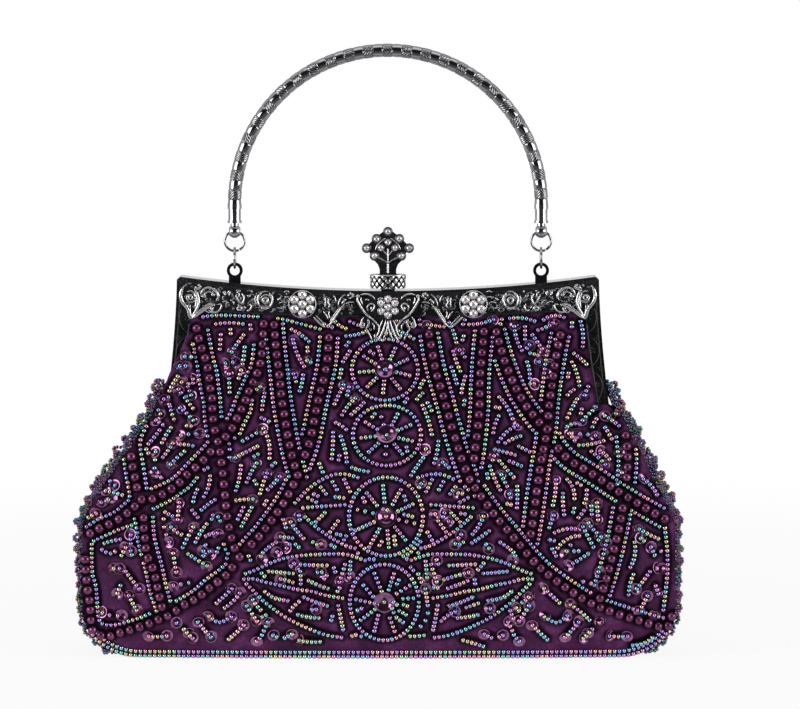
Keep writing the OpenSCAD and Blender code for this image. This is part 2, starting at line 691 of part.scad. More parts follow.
module left_rosette() {
    rosette(left);
}
module right_rosette() {
    rosette(right);
}
module rosette_stones() {
    color(crystal) for (side = [left, right]) {
        stones(rosette_places(side), frame_front_y + rosette_t);
    }
}

// Lugs on the frame's top edge that hold the handle's rings
eye_z = top_z(handle_r) + lug_rise;
lug_r = eye_d / 2 + eye_rim;
module lug(side) {
    x = side * handle_r;
    w = lug_stem_w / 2;
    color(dark_metal) plate(-ring_y - lug_t / 2, -ring_y + lug_t / 2) difference() {
        union() {
            translate([x, eye_z]) circle(r = lug_r);
            polygon([[x - w, seat_z(x - w)], [x + w, seat_z(x + w)], [x + w, eye_z], [x - w, eye_z]]);
        }
        translate([x, eye_z]) circle(d = eye_d);
    }
}
module left_lug() {
    lug(left);
}
module right_lug() {
    lug(right);
}

// Rings: the link ring stands fore and aft through the lug, the eye ring hangs across it
rim_z = eye_z + eye_d / 2 + eye_rim / 2;
rim_corner = norm([eye_rim, lug_t]) / 2;
link_foot_z = rim_z - rim_corner - wire_d / 2 - air / 2;
link_z = link_foot_z + ring_r;
ring_gap = air * 0.65;
eye_ring_foot_z = link_z + ring_r - wire_d - ring_gap;
eye_ring_z = eye_ring_foot_z + ring_r;
ball_z = eye_ring_z + ring_r;
ring_slit = 5;
slit_at = 300;
module link_ring(side) {
    color(silver) translate([side * handle_r, ring_y, link_z]) rotate([0, 90, 0])
        rotate_extrude() translate([ring_r, 0]) circle(d = wire_d);
}
module eye_ring(side) {
    color(silver) translate([side * handle_r, ring_y, eye_ring_z]) rotate([90, 0, 0]) rotate([0, 0, slit_at])
        rotate_extrude(angle = 360 - ring_slit) translate([ring_r, 0]) circle(d = wire_d);
}
module left_link_ring() {
    link_ring(left);
}
module right_link_ring() {
    link_ring(right);
}
module left_eye_ring() {
    eye_ring(left);
}
module right_eye_ring() {
    eye_ring(right);
}

// Handle: an arch with spigots, a ferrule at each end, and a ball end that turns on its ring
neck_h = 0.75;
ferrule_z = ball_z + ball_d / 2 + neck_h;
arch_z = ferrule_z + ferrule_h;
module handle_arch() {
    color(silver) union() {
        translate([0, ring_y, arch_z]) rotate([90, 0, 0])
            rotate_extrude(angle = 180) translate([handle_r, 0]) circle(d = handle_d);
        for (side = [left, right]) translate([side * handle_r, ring_y, arch_z - spigot_h])
            cylinder(h = spigot_h, d = spigot_d);
    }
}
rim_h = 1.1;
rim_step = 0.35;
module ferrule(side) {
    color(silver) translate([side * handle_r, ring_y, ferrule_z]) difference() {
        union() {
            cylinder(h = ferrule_h, d = ferrule_d - 2 * rim_step);
            cylinder(h = rim_h, d = ferrule_d);
            translate([0, 0, ferrule_h - 2 * rim_h]) cylinder(h = 2 * rim_h, d = ferrule_d);
        }
        translate([0, 0, -1]) cylinder(h = ferrule_h + 2, d = spigot_d + 2 * fit);
    }
}
module left_ferrule() {
    ferrule(left);
}
module right_ferrule() {
    ferrule(right);
}
mouth_d = 3.8;
throat_d = wire_d + 0.5;
bell_l = ball_d / 2;
module ball_end(side) {
    color(silver) translate([side * handle_r, ring_y, ball_z]) difference() {
        union() {
            sphere(d = ball_d);
            cylinder(h = ball_d / 2 + neck_h + ferrule_h - spigot_h - air, d = spigot_d);
        }
        rotate([0, 90, 0]) translate([0, 0, -ball_d]) cylinder(h = 2 * ball_d, d = throat_d);
        for (way = [-1, 1]) rotate([0, way * 90, 0]) cylinder(h = bell_l, d1 = 0, d2 = mouth_d);
    }
}
module left_ball_end() {
    ball_end(left);
}
module right_ball_end() {
    ball_end(right);
}

// Clasp collar: an oval sleeve on a foot that stands on the front half of the frame
collar_z = frame_mid_z + collar_lift;
pin_z = collar_z + clasp_pin_rise;
collar_off = (collar_w - collar_d) / 2;
floor_t = 0.8;
collar_rim_h = 0.9;
collar_rim_t = 0.3;
collar_foot_w = 10;
module oval(d, off) {
    for (side = [left, right]) translate([side * off, -collar_y]) circle(d = d);
    translate([-off, -collar_y - d / 2]) square([2 * off, d]);
}
module lock_collar() {
    foot_front = frame_front_y - air;
    foot_back = half_y + air;
    foot_z = seat_z(collar_foot_w / 2);
    foot_top = collar_z + floor_t / 2;
    color(dark_metal) difference() {
        union() {
            translate([0, 0, collar_z]) linear_extrude(collar_h) difference() {
                oval(collar_d, collar_off);
                oval(collar_d - 2 * collar_t, collar_off);
            }
            translate([0, 0, collar_z]) linear_extrude(collar_rim_h) difference() {
                oval(collar_d + 2 * collar_rim_t, collar_off);
                oval(collar_d - 2 * collar_t, collar_off);
            }
            intersection() {
                translate([0, 0, collar_z]) linear_extrude(floor_t) oval(collar_d, collar_off);
                translate([-collar_w, -2 * collar_d, collar_z - 1])
                    cube([2 * collar_w, 2 * collar_d - foot_back, collar_h]);
            }
            translate([-collar_foot_w / 2, -foot_front, foot_z])
                cube([collar_foot_w, foot_front - foot_back, foot_top - foot_z]);
        }
        translate([-collar_w, -collar_y, pin_z]) rotate([0, 90, 0])
            cylinder(h = 2 * collar_w, d = clasp_pin_d);
    }
}
module lock_pin() {
    color(silver) translate([-collar_w / 2, -collar_y, pin_z]) rotate([0, 90, 0])
        cylinder(h = collar_w, d = clasp_pin_d);
}
spring_t = 0.35;
barrel_wall = 1.3;
spring_w = 5;
spring_drop = 0.8;
spring_y = collar_y + (clasp_pin_d + barrel_wall) / 2 + air;
module lock_spring() {
    color(silver) translate([-spring_w / 2, -spring_y - spring_t, collar_z + floor_t])
        cube([spring_w, spring_t, collar_h - floor_t - spring_drop]);
}

// Clasp lever: a jewelled fan on a stem, a barrel on the pin and a nose over the keeper
barrel_d = clasp_pin_d + barrel_wall;
barrel_w = stem_w;
stem_rise = 2.4;
fan_z = collar_z + collar_h + stem_rise;
nose_y = [-1.4, -0.4];
nose_gap = 0.15;
nose_w = 5;
function fan(x, z) = [x * fan_half_w, fan_z + z * fan_h];
fan_outer = [fan(0, 0.87), fan(0.45, 0.705), fan(-0.45, 0.705), fan(0.84, 0.487), fan(-0.84, 0.487),
    fan(0.53, 0.307), fan(-0.53, 0.307)];
fan_inner = [fan(0, 0.63), fan(0.28, 0.497), fan(-0.28, 0.497)];
fan_side = [fan(0.29, 0.965), fan(0.58, 0.84), fan(0.78, 0.7), fan(1, 0.51), fan(0.95, 0.43),
    fan(0.79, 0.35), fan(0.77, 0.26), fan(0.62, 0.19), fan(0.44, 0.115)];
module lock_finial() {
    w = stem_w / 2;
    nose_foot = frame_mid_z + keeper_h + nose_gap;
    color(silver) difference() {
        union() {
            plate(collar_y - finial_t / 2, collar_y + finial_t / 2) union() {
                polygon(concat([fan(0, 1)], fan_side, [[w, fan_z], [w, pin_z], [-w, pin_z], [-w, fan_z]],
                    mirrored(fan_side)));
                bezels(fan_outer);
            }
            translate([-barrel_w / 2, -collar_y, pin_z]) rotate([0, 90, 0])
                cylinder(h = barrel_w, d = barrel_d);
            translate([-nose_w / 2, -collar_y, pin_z - barrel_d / 2])
                cube([nose_w, collar_y - nose_y[0], barrel_d / 2]);
            translate([-nose_w / 2, -nose_y[1], nose_foot])
                cube([nose_w, nose_y[1] - nose_y[0], pin_z - nose_foot]);
        }
        translate([-collar_w, -collar_y, pin_z]) rotate([0, 90, 0])
            cylinder(h = 2 * collar_w, d = clasp_pin_d + 2 * fit);
    }
}
module finial_stones() {
    color(crystal) stones(concat(fan_outer, fan_inner), collar_y + finial_t / 2);
}
keeper_d = 1.3;
module lock_keeper() {
    foot_z = seat_z(keeper_w / 2);
    color(silver) translate([-keeper_w / 2, half_y + air, foot_z])
        cube([keeper_w, keeper_d, frame_mid_z + keeper_h - foot_z]);
}

front_panel_lower();
rear_panel_lower();
left_gusset();
right_gusset();
base_panel();
base_board();
lining();
front_hem();
rear_hem();
left_bead_fringe();
right_bead_fringe();
left_hinge_rivet();
right_hinge_rivet();
front_frame();
front_panel_upper();
centre_ornament();
left_rosette();
right_rosette();
ornament_stones();
rosette_stones();
left_lug();
right_lug();
lock_collar();
lock_pin();
lock_spring();
lock_finial();
finial_stones();
rear_frame();
rear_panel_upper();
lock_keeper();
left_link_ring();
right_link_ring();
left_eye_ring();
right_eye_ring();
handle_arch();
left_ferrule();
right_ferrule();
left_ball_end();
right_ball_end();
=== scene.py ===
import bpy
import math
import numpy as np
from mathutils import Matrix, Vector


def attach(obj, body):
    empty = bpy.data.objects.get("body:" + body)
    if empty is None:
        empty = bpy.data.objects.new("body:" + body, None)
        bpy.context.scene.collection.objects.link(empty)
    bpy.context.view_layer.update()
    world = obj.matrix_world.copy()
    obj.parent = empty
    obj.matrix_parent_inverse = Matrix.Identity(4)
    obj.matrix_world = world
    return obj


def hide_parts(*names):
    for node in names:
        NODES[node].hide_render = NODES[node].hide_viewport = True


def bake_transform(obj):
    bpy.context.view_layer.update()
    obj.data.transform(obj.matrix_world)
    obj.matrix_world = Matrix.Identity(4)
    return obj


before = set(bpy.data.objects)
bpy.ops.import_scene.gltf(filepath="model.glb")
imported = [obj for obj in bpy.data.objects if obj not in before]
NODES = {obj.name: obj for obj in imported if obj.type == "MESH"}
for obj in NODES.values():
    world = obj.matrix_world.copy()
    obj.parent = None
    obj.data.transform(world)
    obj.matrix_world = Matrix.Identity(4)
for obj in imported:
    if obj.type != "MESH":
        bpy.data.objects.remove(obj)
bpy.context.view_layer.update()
rng = np.random.default_rng(11)
MM = 0.001

# Sizes of the bag in millimetres, as in the CAD source.
HINGE_Z, BELLY_Z, GUSSET_TOP = 105, 45, 121
BAG_HALF, HINGE_HALF, FLANK_SLOPE = 130.5, 104.3, 0.6
CORNER_HIGH, CORNER_WIDE = 22, 26
# How thick the bag is at the foot, the belly and the hinge, in the middle and at the sides.
MIDDLE_SWELL = 42, 57, 32.6
SIDE_SWELL = 32, 44, 25
# The belly hangs this far to the left.
LEAN = 4.0
ARM_X, ARM_HIGH, ARM_SPLAY = 92.5, 61.8, 5.3
BAR_TOP, BAR_SAG, BAR_HIGH, BAR_FLARE = 166.8, 6.5, 11.7, 2.8
# The cloth's distance from the middle plane where it goes in behind the frame.
TUCKED = 5.1
# The faces that the ornaments lie on: frame, edge of the middle plate, middle plate.
FACE_Y, PLATE_EDGE_Y, PLATE_Y = -6.6, -7.2, -8.0


# Shape of the bag.
def arr(v):
    return np.asarray(v, float)


def smooth(a, b, v):
    t = np.clip((arr(v) - a) / (b - a), 0, 1)
    return t * t * (3 - 2 * t)


def mix(a, b, t):
    return a + (b - a) * t


def smooth_min(a, b, k):
    return -k * np.log(np.exp(-(a - b) / k) + 1) + b


def unit(v):
    return v / np.maximum(np.linalg.norm(v, axis=1, keepdims=True), 1e-9)


def corner_inset(z):
    t = np.clip((CORNER_HIGH - arr(z)) / CORNER_HIGH, 0, 1)
    return CORNER_WIDE * (1 - np.sqrt(1 - t * t))


def bag_half(z):
    z = arr(z)
    return smooth_min(BAG_HALF + 0 * z, HINGE_HALF + FLANK_SLOPE * (HINGE_Z - z), 2) - corner_inset(z)


def swell(z, foot, belly, mouth):
    z = arr(z)
    rest = HINGE_Z - BELLY_Z
    low = belly - (belly - foot) * (np.clip(BELLY_Z - z, 0, BELLY_Z) / BELLY_Z) ** 2.2
    high = belly - (belly - mouth) * (np.clip(z - BELLY_Z, 0, rest) / rest) ** 1.8
    return np.where(z < BELLY_Z, low, high)


def arm_share(z):
    """0 at the foot of the frame's arm and 1 at its top."""
    return np.clip((arr(z) - HINGE_Z) / ARM_HIGH, 0, 1)


def outer_x(z):
    return ARM_X + ARM_SPLAY * (1 - arm_share(z)) ** 1.6


def inner_x(z):
    return outer_x(z) - (4.3 + 3.3 * arm_share(z) ** 0.6)


def top_z(x):
    return BAR_TOP - BAR_SAG * (1 - (arr(x) / ARM_X) ** 2)


def bar_foot(x):
    return top_z(x) - BAR_HIGH - BAR_FLARE * (arr(x) / ARM_X) ** 2


def shift(z):
    return -LEAN * (1 - smooth(60, 120, z))


def fringe_x(z, side=-1):
    """The seam between a face and a side wall; above the hinge the right one keeps closer to the arm."""
    z = arr(z)
    rest = np.clip(GUSSET_TOP - z, 0, 16) / 16
    above = 98.8 + 5.5 * rest ** 1.2 if side < 0 else 96.9 + 7.4 * rest ** 2.2
    return np.where(z < HINGE_Z, bag_half(z), above)


def side_half(z):
    z = arr(z)
    low = swell(z, *SIDE_SWELL) / 2
    return np.where(z < HINGE_Z, low, 12.5 - 7.1 * np.clip((z - HINGE_Z) / 16, 0, 1))


def edge_left(z):
    return mix(fringe_x(z) - 0.3, inner_x(z) + 1.2, smooth(112, 143, z))


def edge_right(z):
    return mix(fringe_x(z, 1) - 0.3, inner_x(z) + 1.2, smooth(104, 115, z))


def ripple(x, z):
    a = 0.32 * np.sin(x * 0.105 + 1.3 * np.sin(z * 0.05)) * np.sin(z * 0.09 + 0.7)
    b = 0.20 * np.sin(x * 0.23 + z * 0.17) + 0.14 * np.sin(x * 0.31 - z * 0.27 + 1.0)
    return (a + b) * smooth(4, 20, z) * (1 - smooth(132, 150, z))


def depth(x, z):
    """How far the cloth stands in front of the middle plane."""
    x, z = arr(x), arr(z)
    xs = x - shift(z)
    ax = np.abs(xs)
    over = np.clip(z - HINGE_Z, 0, 60)
    below = np.minimum(z, HINGE_Z)
    mid = swell(below, *MIDDLE_SWELL) / 2 - 0.366 * over
    side = swell(below, *SIDE_SWELL) / 2 - 0.285 * over
    u = np.clip(ax / np.maximum(bag_half(z), 1), 0, 1)
    low = side + (mid - side) * (1 - u ** 2.5)
    fall = np.clip((bar_foot(xs) - 0.2 - z) / 43.6, 0, 1.3)
    rim = np.clip(1 - (ax / (inner_x(z) - 1.3)) ** 3, 0, 1)
    up = 5.4 + 7.6 * fall ** 1.3 * rim
    y = mix(low, up, smooth(96, 122, z)) + ripple(x, z)
    # beside the arm the cloth swells over it below, and goes in behind it above
    over_arm = np.where(xs < 0, 1 - smooth(138, 144, z), 1 - smooth(107, 111.5, z))
    cover = smooth(inner_x(z) - 4, inner_x(z) - 0.6, ax) * over_arm * smooth(96, 102, z)
    y = np.maximum(y, 5.0 + 2.6 * cover)
    under = smooth(inner_x(z) - 3.2, inner_x(z) - 0.4, ax) * (1 - over_arm) * smooth(104, 108, z)
    y = mix(y, np.minimum(y, TUCKED), under)
    return mix(y, np.minimum(y, TUCKED), smooth(bar_foot(xs) - 3, bar_foot(xs) - 0.4, z))


def normal(x, z):
    e = 0.25
    dx = (depth(x + e, z) - depth(x - e, z)) / (2 * e)
    dz = (depth(x, z + e) - depth(x, z - e)) / (2 * e)
    n = np.stack([-dx, -np.ones_like(dx), -dz], -1)
    return n / np.linalg.norm(n, axis=-1, keepdims=True)


def on_cloth(x, z, lift=0.0):
    x, z = arr(x), arr(z)
    p = np.stack([x, -depth(x, z), z], -1)
    return p + normal(x, z) * lift


# Camera, and the way from the picture to the bag.
ELEVATION = math.radians(5.0)
DISTANCE = 2400.0
AIM = arr([5.3, 0, 131.8])
EYE = AIM + DISTANCE * arr([0, -math.cos(ELEVATION), math.sin(ELEVATION)])
AHEAD = arr([0, math.cos(ELEVATION), -math.sin(ELEVATION)])
UP = arr([0, math.sin(ELEVATION), math.cos(ELEVATION)])
PIXEL = 0.44
PICTURE_WIDTH = 800
PICTURE_MIDDLE = 400, 354.5


def rays(px):
    """Directions from the camera through points of the picture."""
    px = arr(px)
    a = (px[:, 0] - PICTURE_MIDDLE[0]) * PIXEL / DISTANCE
    b = (PICTURE_MIDDLE[1] - px[:, 1]) * PIXEL / DISTANCE
    return AHEAD + a[:, None] * arr([1, 0, 0]) + b[:, None] * UP


def meet(ray, y):
    """Where rays meet the depth y."""
    t = (y - EYE[1]) / ray[:, 1]
    return EYE + t[:, None] * ray


def to_plane(px, y=-7.0):
    """Points of the picture as x and z on the frame's face."""
    return meet(rays(px), y)[:, [0, 2]]


def to_cloth(px):
    """Points of the picture as x and z on the cloth of the front."""
    ray = rays(px)
    y = np.full(len(ray), -15.0)
    for _ in range(14):
        p = meet(ray, y)
        y = -depth(p[:, 0], p[:, 2])
    return p[:, [0, 2]]


# Materials.
class Tree:
    """Short calls that build a node tree."""

    def __init__(self, node_tree):
        self.nt = node_tree

    def new(self, kind, **values):
        n = self.nt.nodes.new(kind)
        for k, v in values.items():
            setattr(n, k, v)
        return n

    def feed(self, socket, value):
        """Sets a socket to a number or colour, or links another socket to it."""
        if isinstance(value, (int, float)):
            socket.default_value = value
        elif isinstance(value, tuple):
            socket.default_value = (*value, 1)
        else:
            self.nt.links.new(value, socket)

    def math(self, op, a, b=0.5, clamp=False):
        n = self.new("ShaderNodeMath", operation=op, use_clamp=clamp)
        self.feed(n.inputs[0], a)
        self.feed(n.inputs[1], b)
        return n.outputs[0]

    def add(self, a, b):
        return self.math("ADD", a, b)

    def times(self, a, b):
        return self.math("MULTIPLY", a, b)

    def level(self, src, lo, hi, a=0.0, b=1.0, kind="LINEAR"):
        """Takes a to lo and b to hi."""
        n = self.new("ShaderNodeMapRange", interpolation_type=kind)
        for k, v in zip(("From Min", "From Max", "To Min", "To Max", "Value"), (a, b, lo, hi, src)):
            self.feed(n.inputs[k], v)
        return n.outputs["Result"]

    def part(self, vector, axis):
        n = self.new("ShaderNodeSeparateXYZ")
        self.feed(n.inputs[0], vector)
        return n.outputs[axis]

    def glow(self, kind, strength):
        """White light of a world background or of an emission."""
        n = self.new(kind)
        self.feed(n.inputs["Color"], (1, 1, 1))
        self.feed(n.inputs["Strength"], strength)
        return n.outputs[0]

    def either(self, fac, a, b):
        n = self.new("ShaderNodeMixShader")
        for socket, v in zip(n.inputs, (fac, a, b)):
            self.feed(socket, v)
        return n.outputs[0]

    def paths(self):
        """Whether a ray comes from the camera, and whether it is one of gloss or glass."""
        path = self.new("ShaderNodeLightPath").outputs
        return path["Is Camera Ray"], self.math("MAXIMUM", path["Is Glossy Ray"], path["Is Transmission Ray"])


class Paint(Tree):
    """A material around one Principled shader."""

    def __init__(self, name):
        self.mat = bpy.data.materials.new(name)
        self.mat.use_nodes = True
        super().__init__(self.mat.node_tree)
        self.b = self.nt.nodes["Principled BSDF"]
        self.out = self.nt.nodes["Material Output"]

    def set(self, **values):
        for k, v in values.items():
            self.feed(self.b.inputs[k.replace("_", " ")], v)

    def coords(self):
        return self.new("ShaderNodeTexCoord").outputs["Object"]

    def noise(self, scale, detail=3.0, rough=0.55, stretch=None):
        n = self.new("ShaderNodeTexNoise")
        n.inputs["Scale"].default_value = scale
        n.inputs["Detail"].default_value = detail
        n.inputs["Roughness"].default_value = rough
        src = self.coords()
        if stretch:
            m = self.new("ShaderNodeMapping")
            m.inputs["Scale"].default_value = stretch
            self.feed(m.inputs["Vector"], src)
            src = m.outputs["Vector"]
        self.feed(n.inputs["Vector"], src)
        return n.outputs["Fac"]

    def sway(self, noise, amount):
        """A noise that sways about zero."""
        return self.times(self.math("SUBTRACT", noise, 0.5), amount)

    def cells(self, scale):
        n = self.new("ShaderNodeTexVoronoi")
        n.inputs["Scale"].default_value = scale
        self.feed(n.inputs["Vector"], self.coords())
        return n.outputs["Distance"]

    def wave(self, scale, direction, distort):
        n = self.new("ShaderNodeTexWave", bands_direction=direction)
        n.inputs["Scale"].default_value = scale
        n.inputs["Distortion"].default_value = distort
        self.feed(n.inputs["Vector"], self.coords())
        return n.outputs["Fac"]

    def attr(self, name):
        return self.new("ShaderNodeAttribute", attribute_name=name).outputs["Fac"]

    def ramp(self, fac, *stops):
        n = self.new("ShaderNodeValToRGB")
        elements = n.color_ramp.elements
        while len(elements) < len(stops):
            elements.new(1.0)
        for e, (place, colour) in zip(elements, stops):
            e.position = place
            e.color = (*colour, 1)
        self.feed(n.inputs["Fac"], fac)
        return n.outputs["Color"]

    def blend(self, fac, a, b, kind="MIX"):
        n = self.new("ShaderNodeMix", data_type="RGBA", blend_type=kind)
        for i, v in zip((0, 6, 7), (fac, a, b)):
            self.feed(n.inputs[i], v)
        return n.outputs[2]

    def bump(self, height, strength, distance):
        n = self.new("ShaderNodeBump")
        n.inputs["Strength"].default_value = strength
        n.inputs["Distance"].default_value = distance
        self.feed(n.inputs["Height"], height)
        self.feed(self.b.inputs["Normal"], n.outputs["Normal"])


def satin_paint(name, deep, mid, light, shine, beaded=False):
    """Satin; beaded cloth has painted shade beside each bead, and painted light where it puffs between them.
    """
    p = Paint(name)
    fine = p.noise(1500, 2, 0.6, (1.0, 1.0, 0.35))
    col = p.ramp(p.noise(70, 4, 0.65), (0.25, deep), (0.52, mid), (0.78, light))
    thread = p.ramp(fine, (0.3, (0.55, 0.5, 0.55)), (0.7, (1.25, 1.2, 1.25)))
    col = p.blend(0.75, col, thread, "MULTIPLY")
    if beaded:
        # painted shade beside the beads, and painted light on the open cloth between them
        tones = (0.0, (0.10, 0.05, 0.09)), (0.5, (0.55, 0.50, 0.54)), (1.0, (1.15, 1.1, 1.12))
        col = p.blend(1.0, col, p.ramp(p.attr("open"), *tones), "MULTIPLY")
    p.set(Base_Color=col, Roughness=p.level(fine, 0.34, 0.58), Specular_IOR_Level=0.1 if beaded else 0.05)
    p.set(Sheen_Weight=0.06, Sheen_Roughness=0.35, Sheen_Tint=shine)
    weave = p.add(p.wave(900, "X", 1.5), p.wave(620, "Z", 1.5))
    p.bump(p.add(p.times(weave, 0.5), p.times(p.noise(240, 3), 2.4)), 0.35, 0.0004)
    return p.mat


# The rainbow film on the glass beads, and the silver that its colours fade towards.
FILM = (
    (0.00, (0.34, 0.05, 0.42)), (0.10, (0.62, 0.12, 0.60)), (0.20, (0.92, 0.22, 0.50)),
    (0.28, (0.95, 0.42, 0.26)), (0.36, (0.86, 0.68, 0.20)), (0.46, (0.30, 0.72, 0.26)),
    (0.56, (0.05, 0.62, 0.46)), (0.66, (0.05, 0.48, 0.72)), (0.78, (0.14, 0.22, 0.80)),
    (0.90, (0.36, 0.12, 0.72)), (1.00, (0.55, 0.10, 0.62)),
)
FILM_SILVER = (0.70, 0.66, 0.74)


def bead_paint(name, dim=0.90, pale=0.33):
    """Dark glass with a rainbow film; pale says how far its colours fade towards silver."""
    p = Paint(name)
    hue = p.add(p.attr("hue"), p.sway(p.noise(800, 2), 1.2))
    film = [(at, tuple(mix(c, w, pale) * dim for c, w in zip(colour, FILM_SILVER))) for at, colour in FILM]
    col = p.ramp(p.math("FRACT", hue, 0.0), *film)
    dirt = p.level(p.noise(1900, 2), 0.75, 1.15)
    p.set(Base_Color=p.blend(1.0, col, dirt, "MULTIPLY"), Roughness=p.level(p.noise(1300, 2), 0.02, 0.07))
    p.set(Metallic=0.98, Coat_Weight=0.08, Coat_Roughness=0.05, Specular_Tint=(0.25, 0.2, 0.3))
    p.bump(p.noise(1600, 2), 0.12, 0.0002)
    return p.mat


def speckled(name, pattern, polish, *stops):
    """A paint whose colour and roughness follow one noise."""
    p = Paint(name)
    n = p.noise(*pattern)
    p.set(Base_Color=p.ramp(n, *stops), Roughness=p.level(n, *polish))
    return p


def pearl_paint():
    p = Paint("pearls")
    tones = (0.3, (0.080, 0.013, 0.052)), (0.55, (0.145, 0.034, 0.102)), (0.75, (0.25, 0.085, 0.19))
    p.set(Base_Color=p.ramp(p.noise(420, 3), *tones), Roughness=p.level(p.noise(900, 2), 0.15, 0.27))
    p.set(Metallic=0.8, Coat_Weight=0.3, Coat_Roughness=0.12, Specular_Tint=(0.5, 0.35, 0.45))
    p.bump(p.noise(1200, 2), 0.06, 0.0002)
    return p.mat


def sequin_paint():
    p = speckled("sequins", (500, 3), (0.03, 0.08), (0.3, (0.15, 0.055, 0.13)), (0.7, (0.34, 0.16, 0.29)))
    p.set(Metallic=0.95, Specular_Tint=(0.3, 0.2, 0.3))
    p.bump(p.noise(800, 2), 0.1, 0.0002)
    return p.mat


def crystal_paint():
    p = speckled("crystal", (900, 2), (0.02, 0.09), (0.3, (0.70, 0.62, 0.66)), (0.7, (0.96, 0.93, 0.95)))
    p.set(Metallic=0.78, Coat_Weight=1.0, Coat_Roughness=0.02, IOR=1.6)
    return p.mat


def card_paint():
    p = speckled("board", (300, 5, 0.7), (0.7, 0.95), (0.3, (0.06, 0.05, 0.055)), (0.7, (0.12, 0.10, 0.11)))
    p.bump(p.noise(1800, 3), 0.3, 0.0003)
    return p.mat


def metal_paint(name, dark, bright, rough, metal=0.95, rise=False, grain=0.25, scale=650, patina=0.5,
                ribbed=False):
    """Cast or plated metal, dark in its hollows if it has a rise; ribbed metal is duller on its ribs."""
    p = Paint(name)
    n = p.noise(scale, 4, 0.6)
    blot = p.noise(90, 3, 0.6)
    if rise:
        lift = p.add(p.add(p.attr("rise"), p.sway(n, patina)), p.sway(blot, patina))
        col = p.ramp(lift, (0.18, dark), (0.72, bright))
    else:
        col = p.ramp(p.add(p.times(n, 0.55), p.times(blot, 0.45)), (0.32, dark), (0.68, bright))
    polish = p.level(n, *rough)
    if ribbed:
        polish = p.add(polish, p.times(p.attr("rib"), 0.16))
    p.set(Base_Color=col, Roughness=polish, Metallic=metal, Specular_Tint=(0.35, 0.35, 0.36))
    p.bump(p.noise(scale * 2.2, 3), grain, 0.00025)
    return p.mat


def ground_paint():
    """The frame's dark face: stippled, darker along its foot, and painted lighter on its edges and on the
    faces that look up or aside, as wear and as painted highlight.
    """
    p = Paint("gunmetal")
    n = p.noise(420, 4, 0.6)
    cell = p.cells(950)
    tones = (0.3, (0.008, 0.0085, 0.009)), (0.55, (0.024, 0.025, 0.027)), (0.75, (0.070, 0.073, 0.077))
    col = p.ramp(p.add(p.times(n, 0.5), p.times(p.noise(70, 3), 0.5)), *tones)
    height = p.level(p.part(p.coords(), "Z"), 0.0, 1.0, 0.146, 0.156)
    col = p.blend(1.0, col, p.ramp(height, (0.0, (0.36, 0.38, 0.38)), (1.0, (0.95, 0.96, 0.97))), "MULTIPLY")
    facing = p.part(p.new("ShaderNodeNewGeometry").outputs["True Normal"], "Y")
    # faces turned away from the front and back are painted lighter: wear, and a painted highlight
    edge = p.level(p.math("ABSOLUTE", facing, 0.0), 1.0, 0.0, 0.35, 0.75)
    wear_and_highlight = p.ramp(n, (0.3, (0.09, 0.09, 0.095)), (0.7, (0.18, 0.18, 0.19)))
    p.set(Base_Color=p.blend(edge, col, wear_and_highlight), Metallic=0.72, Specular_IOR_Level=0.3)
    p.set(Roughness=p.blend(edge, p.level(n, 0.24, 0.42), p.level(n, 0.10, 0.20)))
    p.bump(p.times(p.add(cell, p.times(n, 0.6)), p.math("SUBTRACT", 1.0, edge)), 0.5, 0.0006)
    return p.mat


SATIN_TONES = (0.022, 0.005, 0.021), (0.062, 0.013, 0.060), (0.15, 0.042, 0.145), (1.0, 0.45, 0.9)
LINING_TONES = (0.010, 0.008, 0.012), (0.018, 0.013, 0.020), (0.03, 0.022, 0.032), (0.6, 0.5, 0.6)
SATIN = satin_paint("satin", *SATIN_TONES, beaded=True)
PLAIN_SATIN = satin_paint("plain_satin", *SATIN_TONES)
LINING = satin_paint("lining", *LINING_TONES)
BEADS = bead_paint("beads")
DARK_BEADS = bead_paint("fringe_beads", 0.30)
PEARLS = pearl_paint()
SEQUIN = sequin_paint()
GROUND = ground_paint()
RELIEF = metal_paint("antique_relief", (0.012, 0.012, 0.014), (0.66, 0.65, 0.66), (0.14, 0.34),
                     rise=True, scale=800, patina=0.8)
SCALLOP = metal_paint("scallop_relief", (0.006, 0.006, 0.008), (0.055, 0.055, 0.06), (0.25, 0.45),
                      rise=True, grain=0.2, scale=700)
DIM = metal_paint("worn_relief", (0.010, 0.010, 0.012), (0.20, 0.20, 0.21), (0.2, 0.42),
                  rise=True, scale=700, patina=0.9)
LEAFY = metal_paint("ornament_plate", (0.012, 0.012, 0.015), (0.10, 0.10, 0.11), (0.22, 0.42),
                    grain=0.35, scale=500)
BLACK = metal_paint("dark_lug", (0.006, 0.006, 0.008), (0.025, 0.025, 0.03), (0.3, 0.5),
                    metal=0.85, grain=0.2, scale=500)
SILVER = metal_paint("polished_silver", (0.22, 0.22, 0.23), (0.46, 0.46, 0.48), (0.06, 0.18),
                     metal=1.0, grain=0.08, scale=300)
HANDLE = metal_paint("handle_silver", (0.018, 0.018, 0.022), (0.31, 0.305, 0.32), (0.06, 0.16),
                     metal=1.0, rise=True, grain=0.06, scale=300, patina=0.25, ribbed=True)
KNURL = metal_paint("knurled_silver", (0.008, 0.008, 0.010), (0.58, 0.57, 0.58), (0.14, 0.30),
                    metal=1.0, rise=True, grain=0.1, scale=500, patina=0.3)
CRYSTAL = crystal_paint()
CARD = card_paint()


